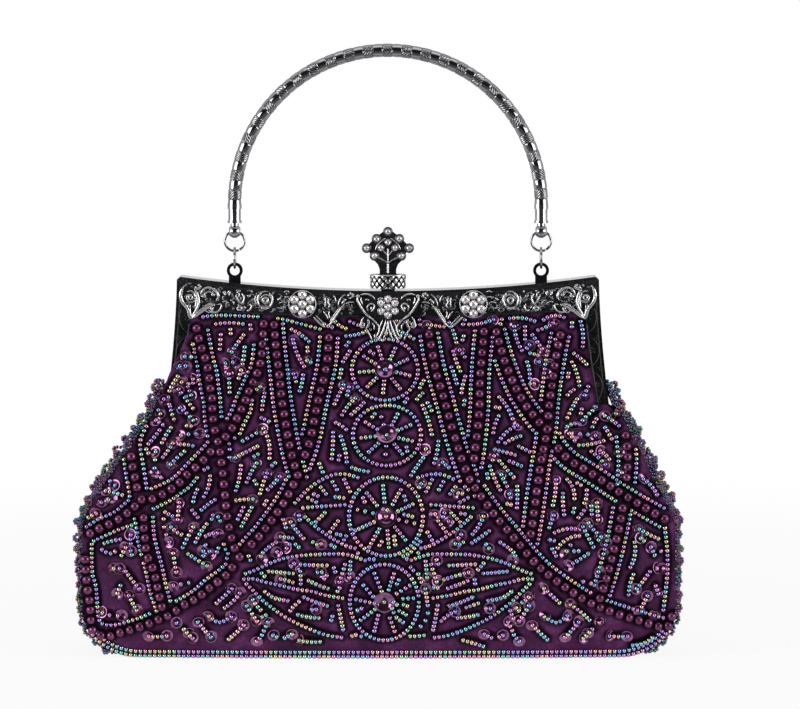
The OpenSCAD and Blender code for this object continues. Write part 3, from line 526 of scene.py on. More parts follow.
# Mesh builders.
def mesh(name, co, faces, mat, smooth_faces=True, **attrs):
    """One object from points in millimetres; faces is an array of triangles or quads, or a list of both."""
    co = np.asarray(co, np.float32).reshape(-1, 3) * MM
    groups = [np.asarray(f, np.int32) for f in (faces if isinstance(faces, list) else [faces])]
    corners = np.concatenate([f.ravel() for f in groups])
    sizes = np.concatenate([np.full(len(f), f.shape[1], np.int32) for f in groups])
    me = bpy.data.meshes.new(name)
    me.vertices.add(len(co))
    me.vertices.foreach_set("co", co.ravel())
    me.loops.add(len(corners))
    me.loops.foreach_set("vertex_index", corners)
    me.polygons.add(len(sizes))
    me.polygons.foreach_set("loop_start", np.concatenate([[0], np.cumsum(sizes)[:-1]]).astype(np.int32))
    me.update(calc_edges=True)
    me.validate()
    me.polygons.foreach_set("use_smooth", np.full(len(me.polygons), smooth_faces, bool))
    for key, v in attrs.items():
        a = me.attributes.new(key, "FLOAT", "POINT")
        a.data.foreach_set("value", np.asarray(v, np.float32).ravel())
    me.materials.append(mat)
    ob = bpy.data.objects.new(name, me)
    bpy.context.scene.collection.objects.link(ob)
    return ob


def declare(nodes):
    """Hides the CAD nodes that a piece stands for."""
    if nodes:
        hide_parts(*nodes)


def ride(ob, body, slot, *nodes):
    """A piece that moves with one body."""
    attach(ob, body)
    declare(nodes)


HINGE_LOW, HINGE_HIGH = (0, 0, 0.085), (0, 0, 0.115)


def bend(ob, side, slot, *nodes, start=HINGE_LOW, end=HINGE_HIGH):
    """A piece whose place is baked into its points; it hides the CAD nodes that it stands for."""
    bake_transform(ob)
    declare(nodes)


def grid_faces(rows, cols, wrap_rows=False, wrap_cols=False, flip=False):
    r = np.arange(rows if wrap_rows else rows - 1)
    c = np.arange(cols if wrap_cols else cols - 1)
    R, C = np.meshgrid(r, c, indexing="ij")
    R2, C2 = (R + 1) % rows, (C + 1) % cols
    f = np.stack([R * cols + C, R * cols + C2, R2 * cols + C2, R2 * cols + C], -1).reshape(-1, 4)
    return f[:, ::-1] if flip else f


def lathe(profile, n, closed=False):
    """Points turned about +Z from (radius, height) pairs, and the quads between them."""
    a = np.arange(n) * 2 * math.pi / n
    p = arr(profile)
    co = np.stack([p[:, None, 0] * np.cos(a), p[:, None, 0] * np.sin(a), p[:, None, 1] + 0 * a], -1)
    return co.reshape(-1, 3), grid_faces(len(p), n, wrap_rows=closed, wrap_cols=True)


def bead(radius, hole, length, around, along, power=2.6):
    """A drilled bead, its hole along +Z: an outer barrel closed through the hole."""
    t = np.linspace(-1, 1, along)
    r = hole + (radius - hole) * (1 - np.abs(t) ** power) ** (1 / power)
    return lathe(np.stack([r, 0.5 * length * t], -1), around, closed=True)


def axes(direction, up):
    """Rotation matrices whose third column is direction, one for each row."""
    z = unit(direction)
    x = np.cross(up, z)
    x[np.linalg.norm(x, axis=1) < 1e-6] = arr([1.0, 0, 0])
    x = unit(x)
    return np.stack([x, np.cross(z, x), z], -1)


def scatter(name, template, centres, direction, up, mat, scale, hue=None):
    """A copy of the template at each centre, merged into one mesh."""
    co, faces = template
    c = arr(centres)
    m = axes(arr(direction), arr(up))
    pts = np.einsum("nij,vj->nvi", m, co) * arr(scale)[:, None, None] + c[:, None, :]
    f = faces[None] + (np.arange(len(c)) * len(co))[:, None, None]
    attrs = {} if hue is None else {"hue": np.repeat(arr(hue), len(co))}
    return mesh(name, pts, f.reshape(-1, faces.shape[1]), mat, **attrs)


def chaikin(p, times=2):
    """Cuts the corners of a line of points."""
    p = arr(p)
    for _ in range(times):
        q = np.empty((2 * len(p) - 2, p.shape[1]))
        q[0::2] = 0.75 * p[:-1] + 0.25 * p[1:]
        q[1::2] = 0.25 * p[:-1] + 0.75 * p[1:]
        p = np.vstack([p[:1], q, p[-1:]])
    return p


def walk(p, pitch, whole=False):
    """Points every pitch along a line, and its direction there; whole fits the pitch to the length."""
    s = np.concatenate([[0], np.cumsum(np.linalg.norm(np.diff(p, axis=0), axis=1))])
    if whole:
        k = max(1, int(round(s[-1] / pitch)))
        at = s[-1] * np.arange(k + 1) / k
    else:
        at = np.arange(0.0, s[-1] + 1e-6, pitch)

    def along(offset):
        place = np.clip(at + offset, 0, s[-1])
        return np.stack([np.interp(place, s, p[:, i]) for i in range(p.shape[1])], -1)

    reach = 0.4
    return along(0), along(reach) - along(-reach)


class Heap:
    """Gathers many small shapes into one mesh."""

    def __init__(self):
        self.co, self.faces, self.rise, self.n = [], {3: [], 4: []}, [], 0

    def add(self, co, faces, rise):
        """Takes in a shape; rise is one number, or one for each point, and is 1 on the crests."""
        co = arr(co).reshape(-1, 3)
        faces = np.asarray(faces, int)
        self.faces[faces.shape[1]].append(faces + self.n)
        self.co.append(co)
        self.rise.append(np.broadcast_to(arr(rise).ravel(), (len(co),)))
        self.n += len(co)

    def build(self, name, mat, smooth_faces=True):
        groups = [np.concatenate(self.faces[k]) for k in (4, 3) if self.faces[k]]
        return mesh(name, np.concatenate(self.co), groups, mat, smooth_faces, rise=np.concatenate(self.rise))


def facing(y):
    """Faces at a negative y look to the front, the others to the back."""
    return -1.0 if y < 0 else 1.0


def ribbon(heap, pts, width, height, y=FACE_Y, taper=0.18, groove=0.0, sections=7, step=0.45, curve=True):
    """A raised domed strip along points (x, z) on a face at y, pointed at its ends where it tapers."""
    p = chaikin(pts, 3) if curve and len(pts) > 2 else arr(pts)
    d = np.linalg.norm(np.diff(p, axis=0), axis=1).sum()
    q, t = walk(p, d / max(4, int(d / step)), whole=True)
    t = unit(t)
    n = np.stack([-t[:, 1], t[:, 0]], -1)
    s = np.linspace(-1, 1, sections)
    w = np.full(len(q), width)
    if taper:
        along = np.linspace(0, 1, len(q))
        w = width * np.clip(np.minimum(along, 1 - along) / taper, 0.0, 1) ** 0.6
    w = np.maximum(w, 0.08)
    dome = np.sqrt(np.clip(1 - s * s, 0, 1)) * (1 - groove * np.exp(-(s * 3.2) ** 2))
    rise = dome[None, :] * np.minimum(1, w / width)[:, None] ** 0.5
    x = q[:, 0:1] + n[:, 0:1] * s * w[:, None] / 2
    z = q[:, 1:2] + n[:, 1:2] * s * w[:, None] / 2
    co = np.stack([x, y + facing(y) * (rise * height - 0.04), z], -1)
    heap.add(co, grid_faces(len(q), sections, flip=(y > 0)), rise)


def turned(heap, profile, n, x, y, z, rises):
    """A turned shape that stands on a face at y; rises has one number for each ring of it."""
    co, f = lathe(profile, n)
    out = np.stack([x + co[:, 0], y + facing(y) * co[:, 2], z + co[:, 1]], -1)
    heap.add(out, f if y > 0 else f[:, ::-1], np.repeat(rises, n))


def block(heap, low, high, rise):
    """A box between two opposite corners."""
    co = [(x, y, z) for z in (low[2], high[2]) for y in (low[1], high[1]) for x in (low[0], high[0])]
    heap.add(co, [(0, 2, 3, 1), (4, 5, 7, 6), (0, 1, 5, 4), (2, 6, 7, 3), (0, 4, 6, 2), (1, 3, 7, 5)], rise)


def boss(heap, x, z, r, h, y, hollow):
    """A small round boss, or a ring with a pit in it."""
    top = [(r * 0.42, h * 0.55), (r * 0.05, h * 0.25)] if hollow else [(r * 0.25, h * 1.08), (0.02, h * 1.1)]
    profile = [(r, -0.05), (r * 0.96, h * 0.5), (r * 0.78, h * 0.92), (r * 0.5, h)] + top
    turned(heap, profile, 14, x, y, z, [0.0, 0.6, 1.0, 1.0] + ([0.3, 0.0] if hollow else [1, 1]))


def spiral(x, z, r0, r1, turns, start=0.0, way=1):
    a = np.linspace(0, 1, int(16 * turns) + 6)
    r = r0 + (r1 - r0) * a
    t = math.radians(start) + way * a * turns * 2 * math.pi
    return np.stack([x + r * np.cos(t), z + r * np.sin(t)], -1)


def stone(heap, x, y, z, r, h, turn):
    """A round cut stone facing the front, with table, crown and girdle."""
    def ring(radius, level, count, start):
        a = np.arange(count) * 2 * math.pi / count + start
        return np.stack([x + radius * np.cos(a), np.full(count, y - level), z + radius * np.sin(a)], -1)

    co = np.vstack([
        [[x, y - h, z]], ring(0.50 * r, h, 8, turn), ring(0.80 * r, 0.72 * h, 8, turn + math.pi / 8),
        ring(r, 0.32 * h, 16, turn), ring(r, -0.02, 16, turn)])
    table, crown, girdle, foot = 1, 9, 17, 33
    f = []
    for i in range(8):
        t0, t1, c = table + i, table + (i + 1) % 8, crown + i
        g0, g1, g2 = (girdle + (2 * i + k) % 16 for k in range(3))
        f += [(0, t1, t0), (t0, t1, c), (t0, c, g0), (g0, c, g1), (c, g2, g1), (t1, g2, c)]
    for i in range(16):
        j = (i + 1) % 16
        f += [(girdle + i, girdle + j, foot + j), (girdle + i, foot + j, foot + i)]
    heap.add(co, f, 1.0)


def claw_ring(heap, x, y, z, r, turn):
    """The cup that holds a stone: a low ring with four claws."""
    profile = [(r + 0.34, -0.05), (r + 0.34, 0.38), (r + 0.16, 0.52), (r - 0.04, 0.40), (r - 0.08, -0.05)]
    turned(heap, profile, 20, x, y, z, [0, 0.75, 1, 0.5, 0])
    for i in range(4):
        a = turn + math.pi / 4 + i * math.pi / 2
        cx, cz = x + (r + 0.02) * math.cos(a), z + (r + 0.02) * math.sin(a)
        turned(heap, [(0.26, 0.1), (0.26, 0.62), (0.16, 0.80), (0.01, 0.84)], 7, cx, y, cz, [0, 0.8, 1, 1])


# Cloth and its lining.
WALL_BASE, WALL_SPLIT, ARM_INSIDE = 0.5, 100, 88.0
LINING_GAP, LINING_FOOT = 1.3, 3.6
GUSSET_FOLD_LOW, GUSSET_FOLD_HIGH = (0, 0, 0.098), (0, 0, 0.122)
TO_REAR = arr([1, -1, 1])


def wall_grid(cols, low_rows, high_rows, inset=0.0, low=WALL_BASE, top_gap=-2.0):
    """The front wall, from the seam at the base up to the groove under the frame's bar."""
    u = np.linspace(-1, 1, cols)
    u = np.sign(u) * (1 - (1 - np.abs(u)) ** 1.15)
    heights = [np.full(cols, v) for v in low + (WALL_SPLIT - low) * np.linspace(0, 1, low_rows) ** 1.35]
    top = bar_foot(u * ARM_INSIDE) - top_gap
    heights += [mix(float(WALL_SPLIT), top, v) for v in np.linspace(0, 1, high_rows + 1)[1:]]
    z = np.stack(heights)
    x = u * (np.where(u < 0, edge_left(z), edge_right(z)) - inset) + shift(z)
    return on_cloth(x, z, -inset)


def gusset_grid(sign, half, inset=0.0, low=WALL_BASE, high=119.0):
    """One half of a side wall: it laps a little past the middle, folds at the hinge and ends in a point."""
    z = low + (high - low) * np.linspace(0, 1, 90) ** 1.15
    t = np.linspace(-1, 0.35, 26) if half < 0 else np.linspace(-0.35, 1, 26)
    Z, T = np.meshgrid(z, t, indexing="ij")
    w = side_half(Z) - 0.3 - inset
    bow = 3.0 * (1 - T ** 2) * smooth(2, 25, Z) * (1 - smooth(70, 100, Z))
    crease = -1.0 * np.exp(-(T * 5) ** 2) * smooth(60, 95, Z)
    wrinkle = 0.35 * np.sin(Z * 0.35 + 2 * T) * (1 - T ** 2) + 0.2 * np.sin(Z * 0.8 - 3 * T)
    lap = 0.35 if half > 0 else 0.0
    x = fringe_x(Z, sign) + bow + crease + wrinkle * smooth(8, 30, Z) - 0.4 - inset - lap
    return np.stack([sign * x + shift(Z), T * w, Z], -1)


def base_grid(z, inset):
    U, V = np.meshgrid(np.linspace(-1, 1, 90), np.linspace(-1, 1, 24), indexing="ij")
    x = U * (bag_half(0.6) - inset) - LEAN
    y = V * (side_half(0.6) + (21 - side_half(0.6)) * (1 - np.abs(U) ** 2.5) - inset)
    return np.stack([x, y, z + 0.25 * np.sin(x * 0.2) * np.sin(y * 0.3)], -1)


def grid_mesh(name, p, mat, flip=False, **attrs):
    return mesh(name, p, grid_faces(*p.shape[:2], flip=flip), mat, **attrs)


inner_wall = wall_grid(91, 50, 30, LINING_GAP, LINING_FOOT, -1.0)
bend(grid_mesh("front_lining", inner_wall, LINING, True), "front", "lining", "lining")
bend(grid_mesh("rear_lining", inner_wall * TO_REAR, LINING), "rear", "lining")
for side, sign in (("left", -1), ("right", 1)):
    for half, body in ((-1, "front"), (1, "rear")):
        fold = {"start": GUSSET_FOLD_LOW, "end": GUSSET_FOLD_HIGH}
        wall = grid_mesh(f"{side}_gusset_{body}", gusset_grid(sign, half), PLAIN_SATIN, sign > 0)
        bend(wall, body, "satin", *([side + "_gusset"] if body == "front" else []), **fold)
        inner = gusset_grid(sign, half, 1.2, LINING_FOOT, 100.0)
        bend(grid_mesh(f"{side}_gusset_lining_{body}", inner, LINING, sign < 0), body, "lining", **fold)
ride(grid_mesh("base_cloth", base_grid(0.55, 0.0), PLAIN_SATIN), "bag", "satin", "base_panel")
ride(grid_mesh("base_lining", base_grid(4.3, 3.0), LINING, True), "bag", "lining")


# Drawings of the beadwork, in points of the picture. A slash ends a row; a word without a comma is a mark.
def drawing(text):
    """The rows of a drawing, each as its points and its marks."""
    out = []
    for row in text.split("/"):
        words = row.split()
        marks = [w for w in words if "," not in w]
        out.append(([tuple(float(v) for v in w.split(",")) for w in words if "," in w], marks))
    return out


PEARL_LINES = """
197,328 199,338 202,349 205,357 208,367 210,377 210.5,388 213,398 213,417 216.5,437 219.6,447 220.6,456
222,465 227,516 234,547 240,556.6 / 264,324 261,366 256.6,376 252.6,385 249,393 245,403.7 241.4,411 237,420
233.4,429 226.7,435.4 222,447 / 274,325 279,376 284,417 293,460 298,476 / 329,338 327,366 318,403 311,440
298,476 / 298,476 284,505 260,536 253.6,542 247.3,549.4 240,556.6 234.3,564 228.5,573 221.3,579 213.2,584.4
205.6,590.7 197.5,597.5 187.6,601.5 179,607 173.6,611.4 166,615.4 155.6,619 148.4,622.6 140.3,625.3
131.8,628 123.3,630.2 115.2,632.5 109,635 99.5,633.4 93,630 92,620 91.4,609.6 90.5,600 88.7,590 86.5,569
86,559 83.8,548.6 82,539 / 82,539 86,535.6 92,532.5 97.3,530 102.2,526.6 110.3,524 117.5,521 125.5,514.5
133.6,511 139.4,499 150,500.6 159,496.7 167.3,492.5 175.8,486.4 183.4,480 190,472 198,466.6 205.7,459
211,452 219.6,447 / 142.3,418.4 138.3,431 133,437.6 131.2,449 132,458 133.8,470.7 136.3,479.5 138,489.6
139.4,499 144,511.8 144.4,520 144,530 145.7,539.6 146.6,550 149,559 153.8,568 158,586 165,615 / 429,335
434,365 444,399 456,445 469,480 / 484,332 480,373 479,420 474,460 469,480 / 469,480 491,512 512,536 537,566
562,585 596,606 650,623 668,627 672,613 677,560 673,524 / 496,332 506,368 521,401 538,424 547,431 / 560,335
556,353 549,400 547,431 541,460 535,502 530,540 523,553 / 547,431 563,458 591,474 623,496 673,524 / 625,437
628,468 622,508 615,546 603,587 596,606
"""
SEED_ROWS = """
191.4,344 196,357 199,374 201.5,390 205,405 204.5,414 207,433 208,437 / 208,330 213,358 217,371 218.5,386
220,395 221,410 222,418 / 230,450 229.4,462 / 254,345 252,365 248.6,372 244.6,381 240,392 235.6,401
232.5,411 227.6,420 / 252,401 250.8,412 248.6,416 244,424.6 240,434.5 / 234.7,438.5 229.4,444 / 256.6,434
243,441.6 / 208,443 205.7,446 184.3,468 175,478 166,483.5 152,489 / 148.6,423 139.5,441.6 141.5,453
147,488.5 / 197,478 190,487 180,494 170,501 153.8,508.7 / 124.6,460 126,470.5 129,487 131,500 123,505.5
116.6,511.4 108,515.8 101,518 95,521.7 87,527 / 135,519 137,524 128,526.6 120,529 111,533 103,536.5 94,540.5
/ 153,517 154,535 157,547 164.5,576 165,581 170.4,600 / 137,528 138,541 139.5,546 147,573 148,579 150,590
157,610 / 92,544 92,575 96,583 97.5,600 99,621 106,624 116,624 124,622 132,619.5 140,617.6 150,613 / 226,564
218,571 213,574 205,580 196.5,588 186,595 176.7,600 / 224,544 225,548.5 229,553.5 227,558 / 203,317
215,315.5 230,315.5 258,317 / 216,324 230,322.5 243,324 / 278,319 290,321 305,325 320,329 / 350,322 358,325
"""
# The pearl lines that have rows of seed beads beside them, and on which sides.
SIDE_ROWS = {i: (1, -1) for i in (2, 3, 7, 8, 10, 11, 12, 13)} | {4: (-1,), 9: (1,)}
SIDE_ROW_GAP = 3.9
# The medallions: centre, half width, half height and count of spokes.
MEDALLIONS = (
    (385, 370, 33, 31, 9), (387, 436, 34, 30, 9), (386, 516.6, 37, 39, 10), (384.5, 601.5, 34.5, 37.5, 0),
)
MIRROR_SUM = 776
# The petals, the spokes on the left of the lowest wheel, the barbs in the petals and the spokes on the right.
PETALS = """
355.5,541 361,547 367,554 377.5,557.5 391,556 405,552.6 411,545 / 295,503 310,487 330,475 345,474 358,478 /
305,517 320,531 345,546 355,548 / 303,508 345,505 / 245.5,573 254.5,570 265,565 274.7,561 286,557.5
304,554.8 318.7,554 345,553.6 355.5,556.5 365,560 / 244,578.6 255,578 265.7,582 280,584.4 297.6,589.4
312,590.3 323.7,594.3 343,597.5 / 246.4,583.5 254,590.7 261.7,599 270,605.5 283.7,615.4 297.6,622.6
313.8,629.8 328,634.7 341.6,636.5
"""
LEFT_SPOKES = """
360,581 373,596 / 374.4,573 381.6,591 / 361,619 375,608.7 / 356,598.8 374,602.8 / 374.4,630 378.4,614.5
"""
BARBS = """
318,484 326,494 / 330,478 337,490 / 344,480 350,492 / 316,522 325,513 / 330,532 338,521 / 344,540 351,528 /
308,498 316,502
"""
RIGHT_SPOKES = """
394,573 389,589.4 / 410,585 397,593 / 413.4,597.5 403,598 / 406,614 399,610 / 394.6,630 389.6,617
"""
# Short rows between the lines; the mark s sets a sequin at the end of a row, S at its start and ss at both.
DASHES = """
301,564 327,565 / 308.4,580 328,587.6 / 304,596.6 327,605 / 298,613.6 318.7,617 / 344.8,564 339.4,581 s /
338.5,604.6 343,628.4 / 352,634.7 356,633.4 / 341,544 353,548 / 313,542 317.4,545 321,543.6 s / 269,571
293,573 / 265,591 274,597 288,600 / 276,542 268,547 260,555 263,559 s / 290,544 287,548 s / 205.6,545
211.4,554 s / 188.4,553.6 207,565 s / 217,602 232,588 s / 209,615 217,621 222,621 232,616 ss / 198,621
211,636 ss / 184,628 193,637 s / 229,638 244,624 s / 247,605 257,620 ss / 257,640 262,634 264,629 268,621 ss
/ 273,634 282,637 292,633 ss / 425.5,557 427,577 s / 428,612 425,621 418,627.5 / 410,635 424,634 / 402,559
412,558 419,552 426,548 / 221,334.5 220.4,349 / 243.7,335 232,352 s / 226,363.5 237,362 ss / 229,374 230,393
S / 180,366 185.6,365.7 ss / 181.6,382 188,384 192,396 ss / 168.7,397 164,399 s / 180.7,409.5 193.7,422 ss /
158.4,411.7 160.6,415.7 s / 171.3,429 162.4,443.4 / 181,436.3 200,435 ss / 257.5,447 236,458 s / 156,452.6
154.5,473 ss / 185,452 171,465 s / 179.5,503 178,520 ss / 164,519 165,530 170,542 s / 193.3,527 183,547 S /
192.4,510.5 198,517.6 / 173.6,553 176.7,571.5 ss / 110.7,482 115.7,486 s / 102,503 112.5,499 ss /
102.6,549.5 110,553.6 115.7,551 / 122,555 126,547 s / 114,568 120,568 ss / 126.4,571 139.5,588 s / 121,585
118,593 s / 129,595 137,609.6 ss / 103,612 110,614 122,614.5 ss / 149,635 167,634.7 ss / 176.7,621.7
188,631.6 ss / 173.6,585 193,581 S
"""

# Beads on the cloth.
PEARL_PITCH, SEED_PITCH, DASH_PITCH = 4.5, 2.0, 1.85
PEARL_R, SEED_R = 1.95, 1.1
SEQUIN_R, MIDDLE_SEQUIN_R = 2.7, 4.6
# How far neighbours in a row may overlap, and how the colour drifts and jumps along it.
PEARL_SLACK, SEED_SLACK = -0.25, -0.45
HUE_DRIFT, HUE_JUMPS = 0.15, 0.28
DASH_ARCH = 0.5, 1.1
# What beads keep clear of: the hem, the bar, the arms and the seams.
HEM_CLEAR, BAR_CLEAR, ARM_CLEAR, SEAM_CLEAR = 4.6, 1.0, 0.2, 1.6
# Above these heights the cloth goes in behind the left and the right arm.
LEFT_UNDER, RIGHT_UNDER = 141, 110
SEED = bead(1.12, 0.36, 1.80, 10, 6)
SEED_LIGHT = bead(1.12, 0.36, 1.80, 8, 5)
SEED_SMALL = bead(0.92, 0.3, 1.45, 8, 5)
PEARL = bead(2.05, 0.35, 3.95, 18, 11, 2.0)
PEARL_LIGHT = bead(2.05, 0.35, 3.95, 12, 8, 2.0)
CELL = 4


class Layout:
    """Places beads on the front in millimetres (x, z), and keeps them apart."""

    def __init__(self):
        self.pearls, self.seeds, self.cups = [], [], []
        self.cells = {}

    def near(self, x, z, reach):
        k = int(reach // CELL) + 1
        cx, cz = int(x // CELL), int(z // CELL)
        for i in range(cx - k, cx + k + 1):
            for j in range(cz - k, cz + k + 1):
                for a, b, r in self.cells.get((i, j), ()):
                    yield math.hypot(a - x, b - z), r

    def free(self, x, z, own, gap=0.0):
        return all(d >= own + r + gap for d, r in self.near(x, z, own + 3 + max(gap, 0)))

    def mark(self, x, z, r):
        self.cells.setdefault((int(x // CELL), int(z // CELL)), []).append((x, z, r))

    def inside(self, x, z):
        """Whether a bead here lies on the open cloth."""
        xs = x - float(shift(z))
        if z < HEM_CLEAR or z > float(bar_foot(xs)) - BAR_CLEAR:
            return False
        e = float(edge_left(z)) if xs < 0 else float(edge_right(z))
        if z > LEFT_UNDER or (xs > 0 and z > RIGHT_UNDER):
            e = float(inner_x(z)) - ARM_CLEAR
        return abs(xs) < e - SEAM_CLEAR

    def pearl_line(self, px):
        line = to_cloth(chaikin(px))
        for (a, b), d in zip(*walk(line, PEARL_PITCH, whole=True)):
            if self.inside(a, b) and self.free(a, b, PEARL_R, PEARL_SLACK):
                self.pearls.append((a, b, d[0], d[1]))
                self.mark(a, b, PEARL_R)
        return line

    def seed_line(self, line, arch=0.0, pitch=SEED_PITCH):
        """A row of seed beads; arch lifts its middle off the cloth."""
        q, t = walk(arr(line), pitch, whole=True)
        hue = rng.random()
        for k, ((a, b), d) in enumerate(zip(q, t)):
            rise = arch * math.sin(math.pi * (k + 0.5) / len(q))
            if self.inside(a, b) and self.free(a, b, SEED_R, SEED_SLACK):
                hue += rng.normal(0, HUE_DRIFT)
                hue = (hue + (rng.random() if rng.random() < HUE_JUMPS else 0)) % 1
                self.seeds.append((a, b, d[0], d[1], hue, rise))
                self.mark(a, b, SEED_R)

    def cup(self, x, z, r):
        if self.inside(x, z):
            self.cups.append((x, z, r))

    def dash(self, line, mark=""):
        self.seed_line(line, rng.uniform(*DASH_ARCH), DASH_PITCH)
        if mark in ("S", "ss"):
            self.cup(*line[0], SEQUIN_R)
        if "s" in mark:
            self.cup(*line[-1], SEQUIN_R)

    def medallion(self, px, py, rx, ry, spokes):
        """A sequin with one bead, a rim and spokes of beads; gives its place and the reach of its rule."""
        (x, z), = to_cloth([(px, py)])
        self.cup(x, z, MIDDLE_SEQUIN_R)
        self.seed_line([(x, z), (x + 0.1, z)])
        a = np.linspace(0, 2 * math.pi, 73)
        self.seed_line(to_cloth(np.stack([px + rx * np.cos(a), py + ry * np.sin(a)], -1))[:-2])
        for k in range(spokes):
            w = 2 * math.pi * (k + 0.35) / spokes
            ends = [(px + f * rx * math.cos(w), py + f * ry * math.sin(w)) for f in (0.36, 0.90)]
            self.seed_line(to_cloth(ends), pitch=DASH_PITCH)
        return x, z, rx * 0.46


def beside(line, gap):
    q, t = walk(line, 1.2)
    t = unit(t)
    return q + np.stack([-t[:, 1], t[:, 0]], -1) * gap


def mirrored(px):
    return [(MIRROR_SUM - a, b) for a, b in px]


def smoothed(px, times):
    return chaikin(px, times) if len(px) > 2 else px


plan = Layout()
pearl_lines = [plan.pearl_line(px) for px, _ in drawing(PEARL_LINES)]
for px, _ in drawing(SEED_ROWS):
    plan.seed_line(to_cloth(chaikin(px)))
for i in sorted(SIDE_ROWS):
    for way in SIDE_ROWS[i]:
        plan.seed_line(beside(pearl_lines[i], SIDE_ROW_GAP * way))
wheels = [plan.medallion(*spec) for spec in MEDALLIONS]
for rows, twice in ((PETALS, True), (LEFT_SPOKES, False), (BARBS, True), (RIGHT_SPOKES, False)):
    for px, _ in drawing(rows):
        for points in ((px, mirrored(px)) if twice else (px,)):
            plan.seed_line(to_cloth(smoothed(points, 2)))
for back in (False, True):
    for px, marks in drawing(DASHES):
        plan.dash(to_cloth(smoothed(mirrored(px) if back else px, 1)), *marks)


FILL_X, FILL_Z, FILL_TURN = (-134, 130), (6, 152), 0.09
# Low rows, and rows low in the corners, are laid only in the first pass.
FOOT_SPARSE, CORNER_SPARSE_Z, CORNER_SPARSE_X, SPARSE_GAP = 17, 45, 60, 1.0


def fill(count, tries, gap, least, most):
    """Short rows of beads in the ground that is left, in turning directions; the foot stays sparse."""
    made = 0
    for _ in range(tries):
        if made >= count:
            break
        z = rng.uniform(*FILL_Z)
        x = rng.uniform(*FILL_X)
        n = int(rng.integers(least, most))
        heading = rng.uniform(0, math.pi)
        turn = rng.normal(0, FILL_TURN)
        line = []
        cx, cz = x, z
        for k in range(n):
            line.append((cx, cz))
            cx += DASH_PITCH * math.cos(heading)
            cz += DASH_PITCH * math.sin(heading)
            heading += turn
        sparse = z < FOOT_SPARSE or (z < CORNER_SPARSE_Z and abs(x) > CORNER_SPARSE_X)
        if sparse and gap < SPARSE_GAP:
            continue
        if all(plan.inside(a, b) and plan.free(a, b, SEED_R, gap) for a, b in line):
            mark = ("s", "", "", "s", "", "")[int(rng.integers(0, 6))]
            if any(math.hypot(x - a, z - b) < c for a, b, c in wheels):
                mark = ""
            plan.dash(arr(line), mark)
            made += 1


# Each pass: tries, gap to other beads, and the least and most beads of a row.
FILL_ROWS = 400
for spec in ((16000, 1.2, 6, 9), (16000, 0.8, 5, 8), (16000, 0.5, 4, 6), (12000, 0.25, 2, 4)):
    fill(FILL_ROWS, *spec)

# A grid over the face that says how far each spot lies from the nearest bead.
FIELD_STEP, FIELD_X, FIELD_Z, FIELD_COLS, FIELD_ROWS = 0.5, -140.0, -2.0, 560, 330
FIELD_REACH = 14


def open_field():
    field = np.full((FIELD_COLS, FIELD_ROWS), 4.0, np.float32)
    k = np.arange(-FIELD_REACH, FIELD_REACH + 1)
    for x, z, r in [spot for group in plan.cells.values() for spot in group]:
        i, j = int(round((x - FIELD_X) / FIELD_STEP)), int(round((z - FIELD_Z) / FIELD_STEP))
        gx = (i + k) * FIELD_STEP + FIELD_X - x
        gz = (j + k) * FIELD_STEP + FIELD_Z - z
        d = np.hypot(gx[:, None], gz[None, :]) - r
        i0, j0 = i - FIELD_REACH, j - FIELD_REACH
        low_i, low_j = max(i0, 0), max(j0, 0)
        high_i, high_j = min(i + FIELD_REACH + 1, FIELD_COLS), min(j + FIELD_REACH + 1, FIELD_ROWS)
        spot = field[low_i:high_i, low_j:high_j]
        np.minimum(spot, d[low_i - i0:high_i - i0, low_j - j0:high_j - j0], out=spot, casting="same_kind")
    return field


FIELD = open_field()


def openness(x, z):
    """0 beside a bead and 1 in the middle of bare cloth."""
    a = np.clip((arr(x) - FIELD_X) / FIELD_STEP, 0, FIELD_COLS - 1.1)
    b = np.clip((arr(z) - FIELD_Z) / FIELD_STEP, 0, FIELD_ROWS - 1.1)
    i, j = a.astype(int), b.astype(int)
    u, v = a - i, b - j
    near = FIELD[i, j] * (1 - u) * (1 - v) + FIELD[i + 1, j] * u * (1 - v)
    far = FIELD[i, j + 1] * (1 - u) * v + FIELD[i + 1, j + 1] * u * v
    return smooth(0.0, 2.0, near + far)


def beaded_wall(side, way, cols, low_rows, high_rows):
    """The satin of one face, puffed between the beads."""
    p = wall_grid(cols, low_rows, high_rows)
    x, z = p[:, :, 0], p[:, :, 2]
    clear = openness(x, z)
    p = (p + normal(x, z) * (0.75 * clear - 0.15)[:, :, None]) * way
    # the openness is also stored on the skin, where the satin paints shade beside the beads with it
    ob = grid_mesh(side + "_skin", p, SATIN, side == "rear", open=clear)
    bend(ob, side, "satin", side + "_panel_lower", side + "_panel_upper")


beaded_wall("front", 1, 340, 178, 100)
beaded_wall("rear", TO_REAR, 171, 92, 52)


SLOPE_STEP = 0.2
PEARL_LIFT, SEED_LIFT, SEQUIN_LIFT = 1.75, 0.95, 0.1
PEARL_SIZES, SEED_SIZES, FRINGE_SIZES = (0.94, 1.04), (0.92, 1.06), (0.9, 1.12)
SEED_TILT, SEQUIN_TILT = 0.06, 0.20


def heading(s):
    """The directions in space of the rows that the beads of a table belong to."""
    x, z = s[:, 0], s[:, 1]
    climb = (depth(x + s[:, 2] * SLOPE_STEP, z + s[:, 3] * SLOPE_STEP) - depth(x, z)) / SLOPE_STEP
    return np.stack([s[:, 2], -climb, s[:, 3]], -1)


DISH = lathe([(1.0, 0.40), (0.96, 0.42), (0.66, 0.24), (0.28, 0.08), (0.06, 0.06), (0.28, 0.03), (0.66, 0.18),
              (1.0, 0.37)], 20)


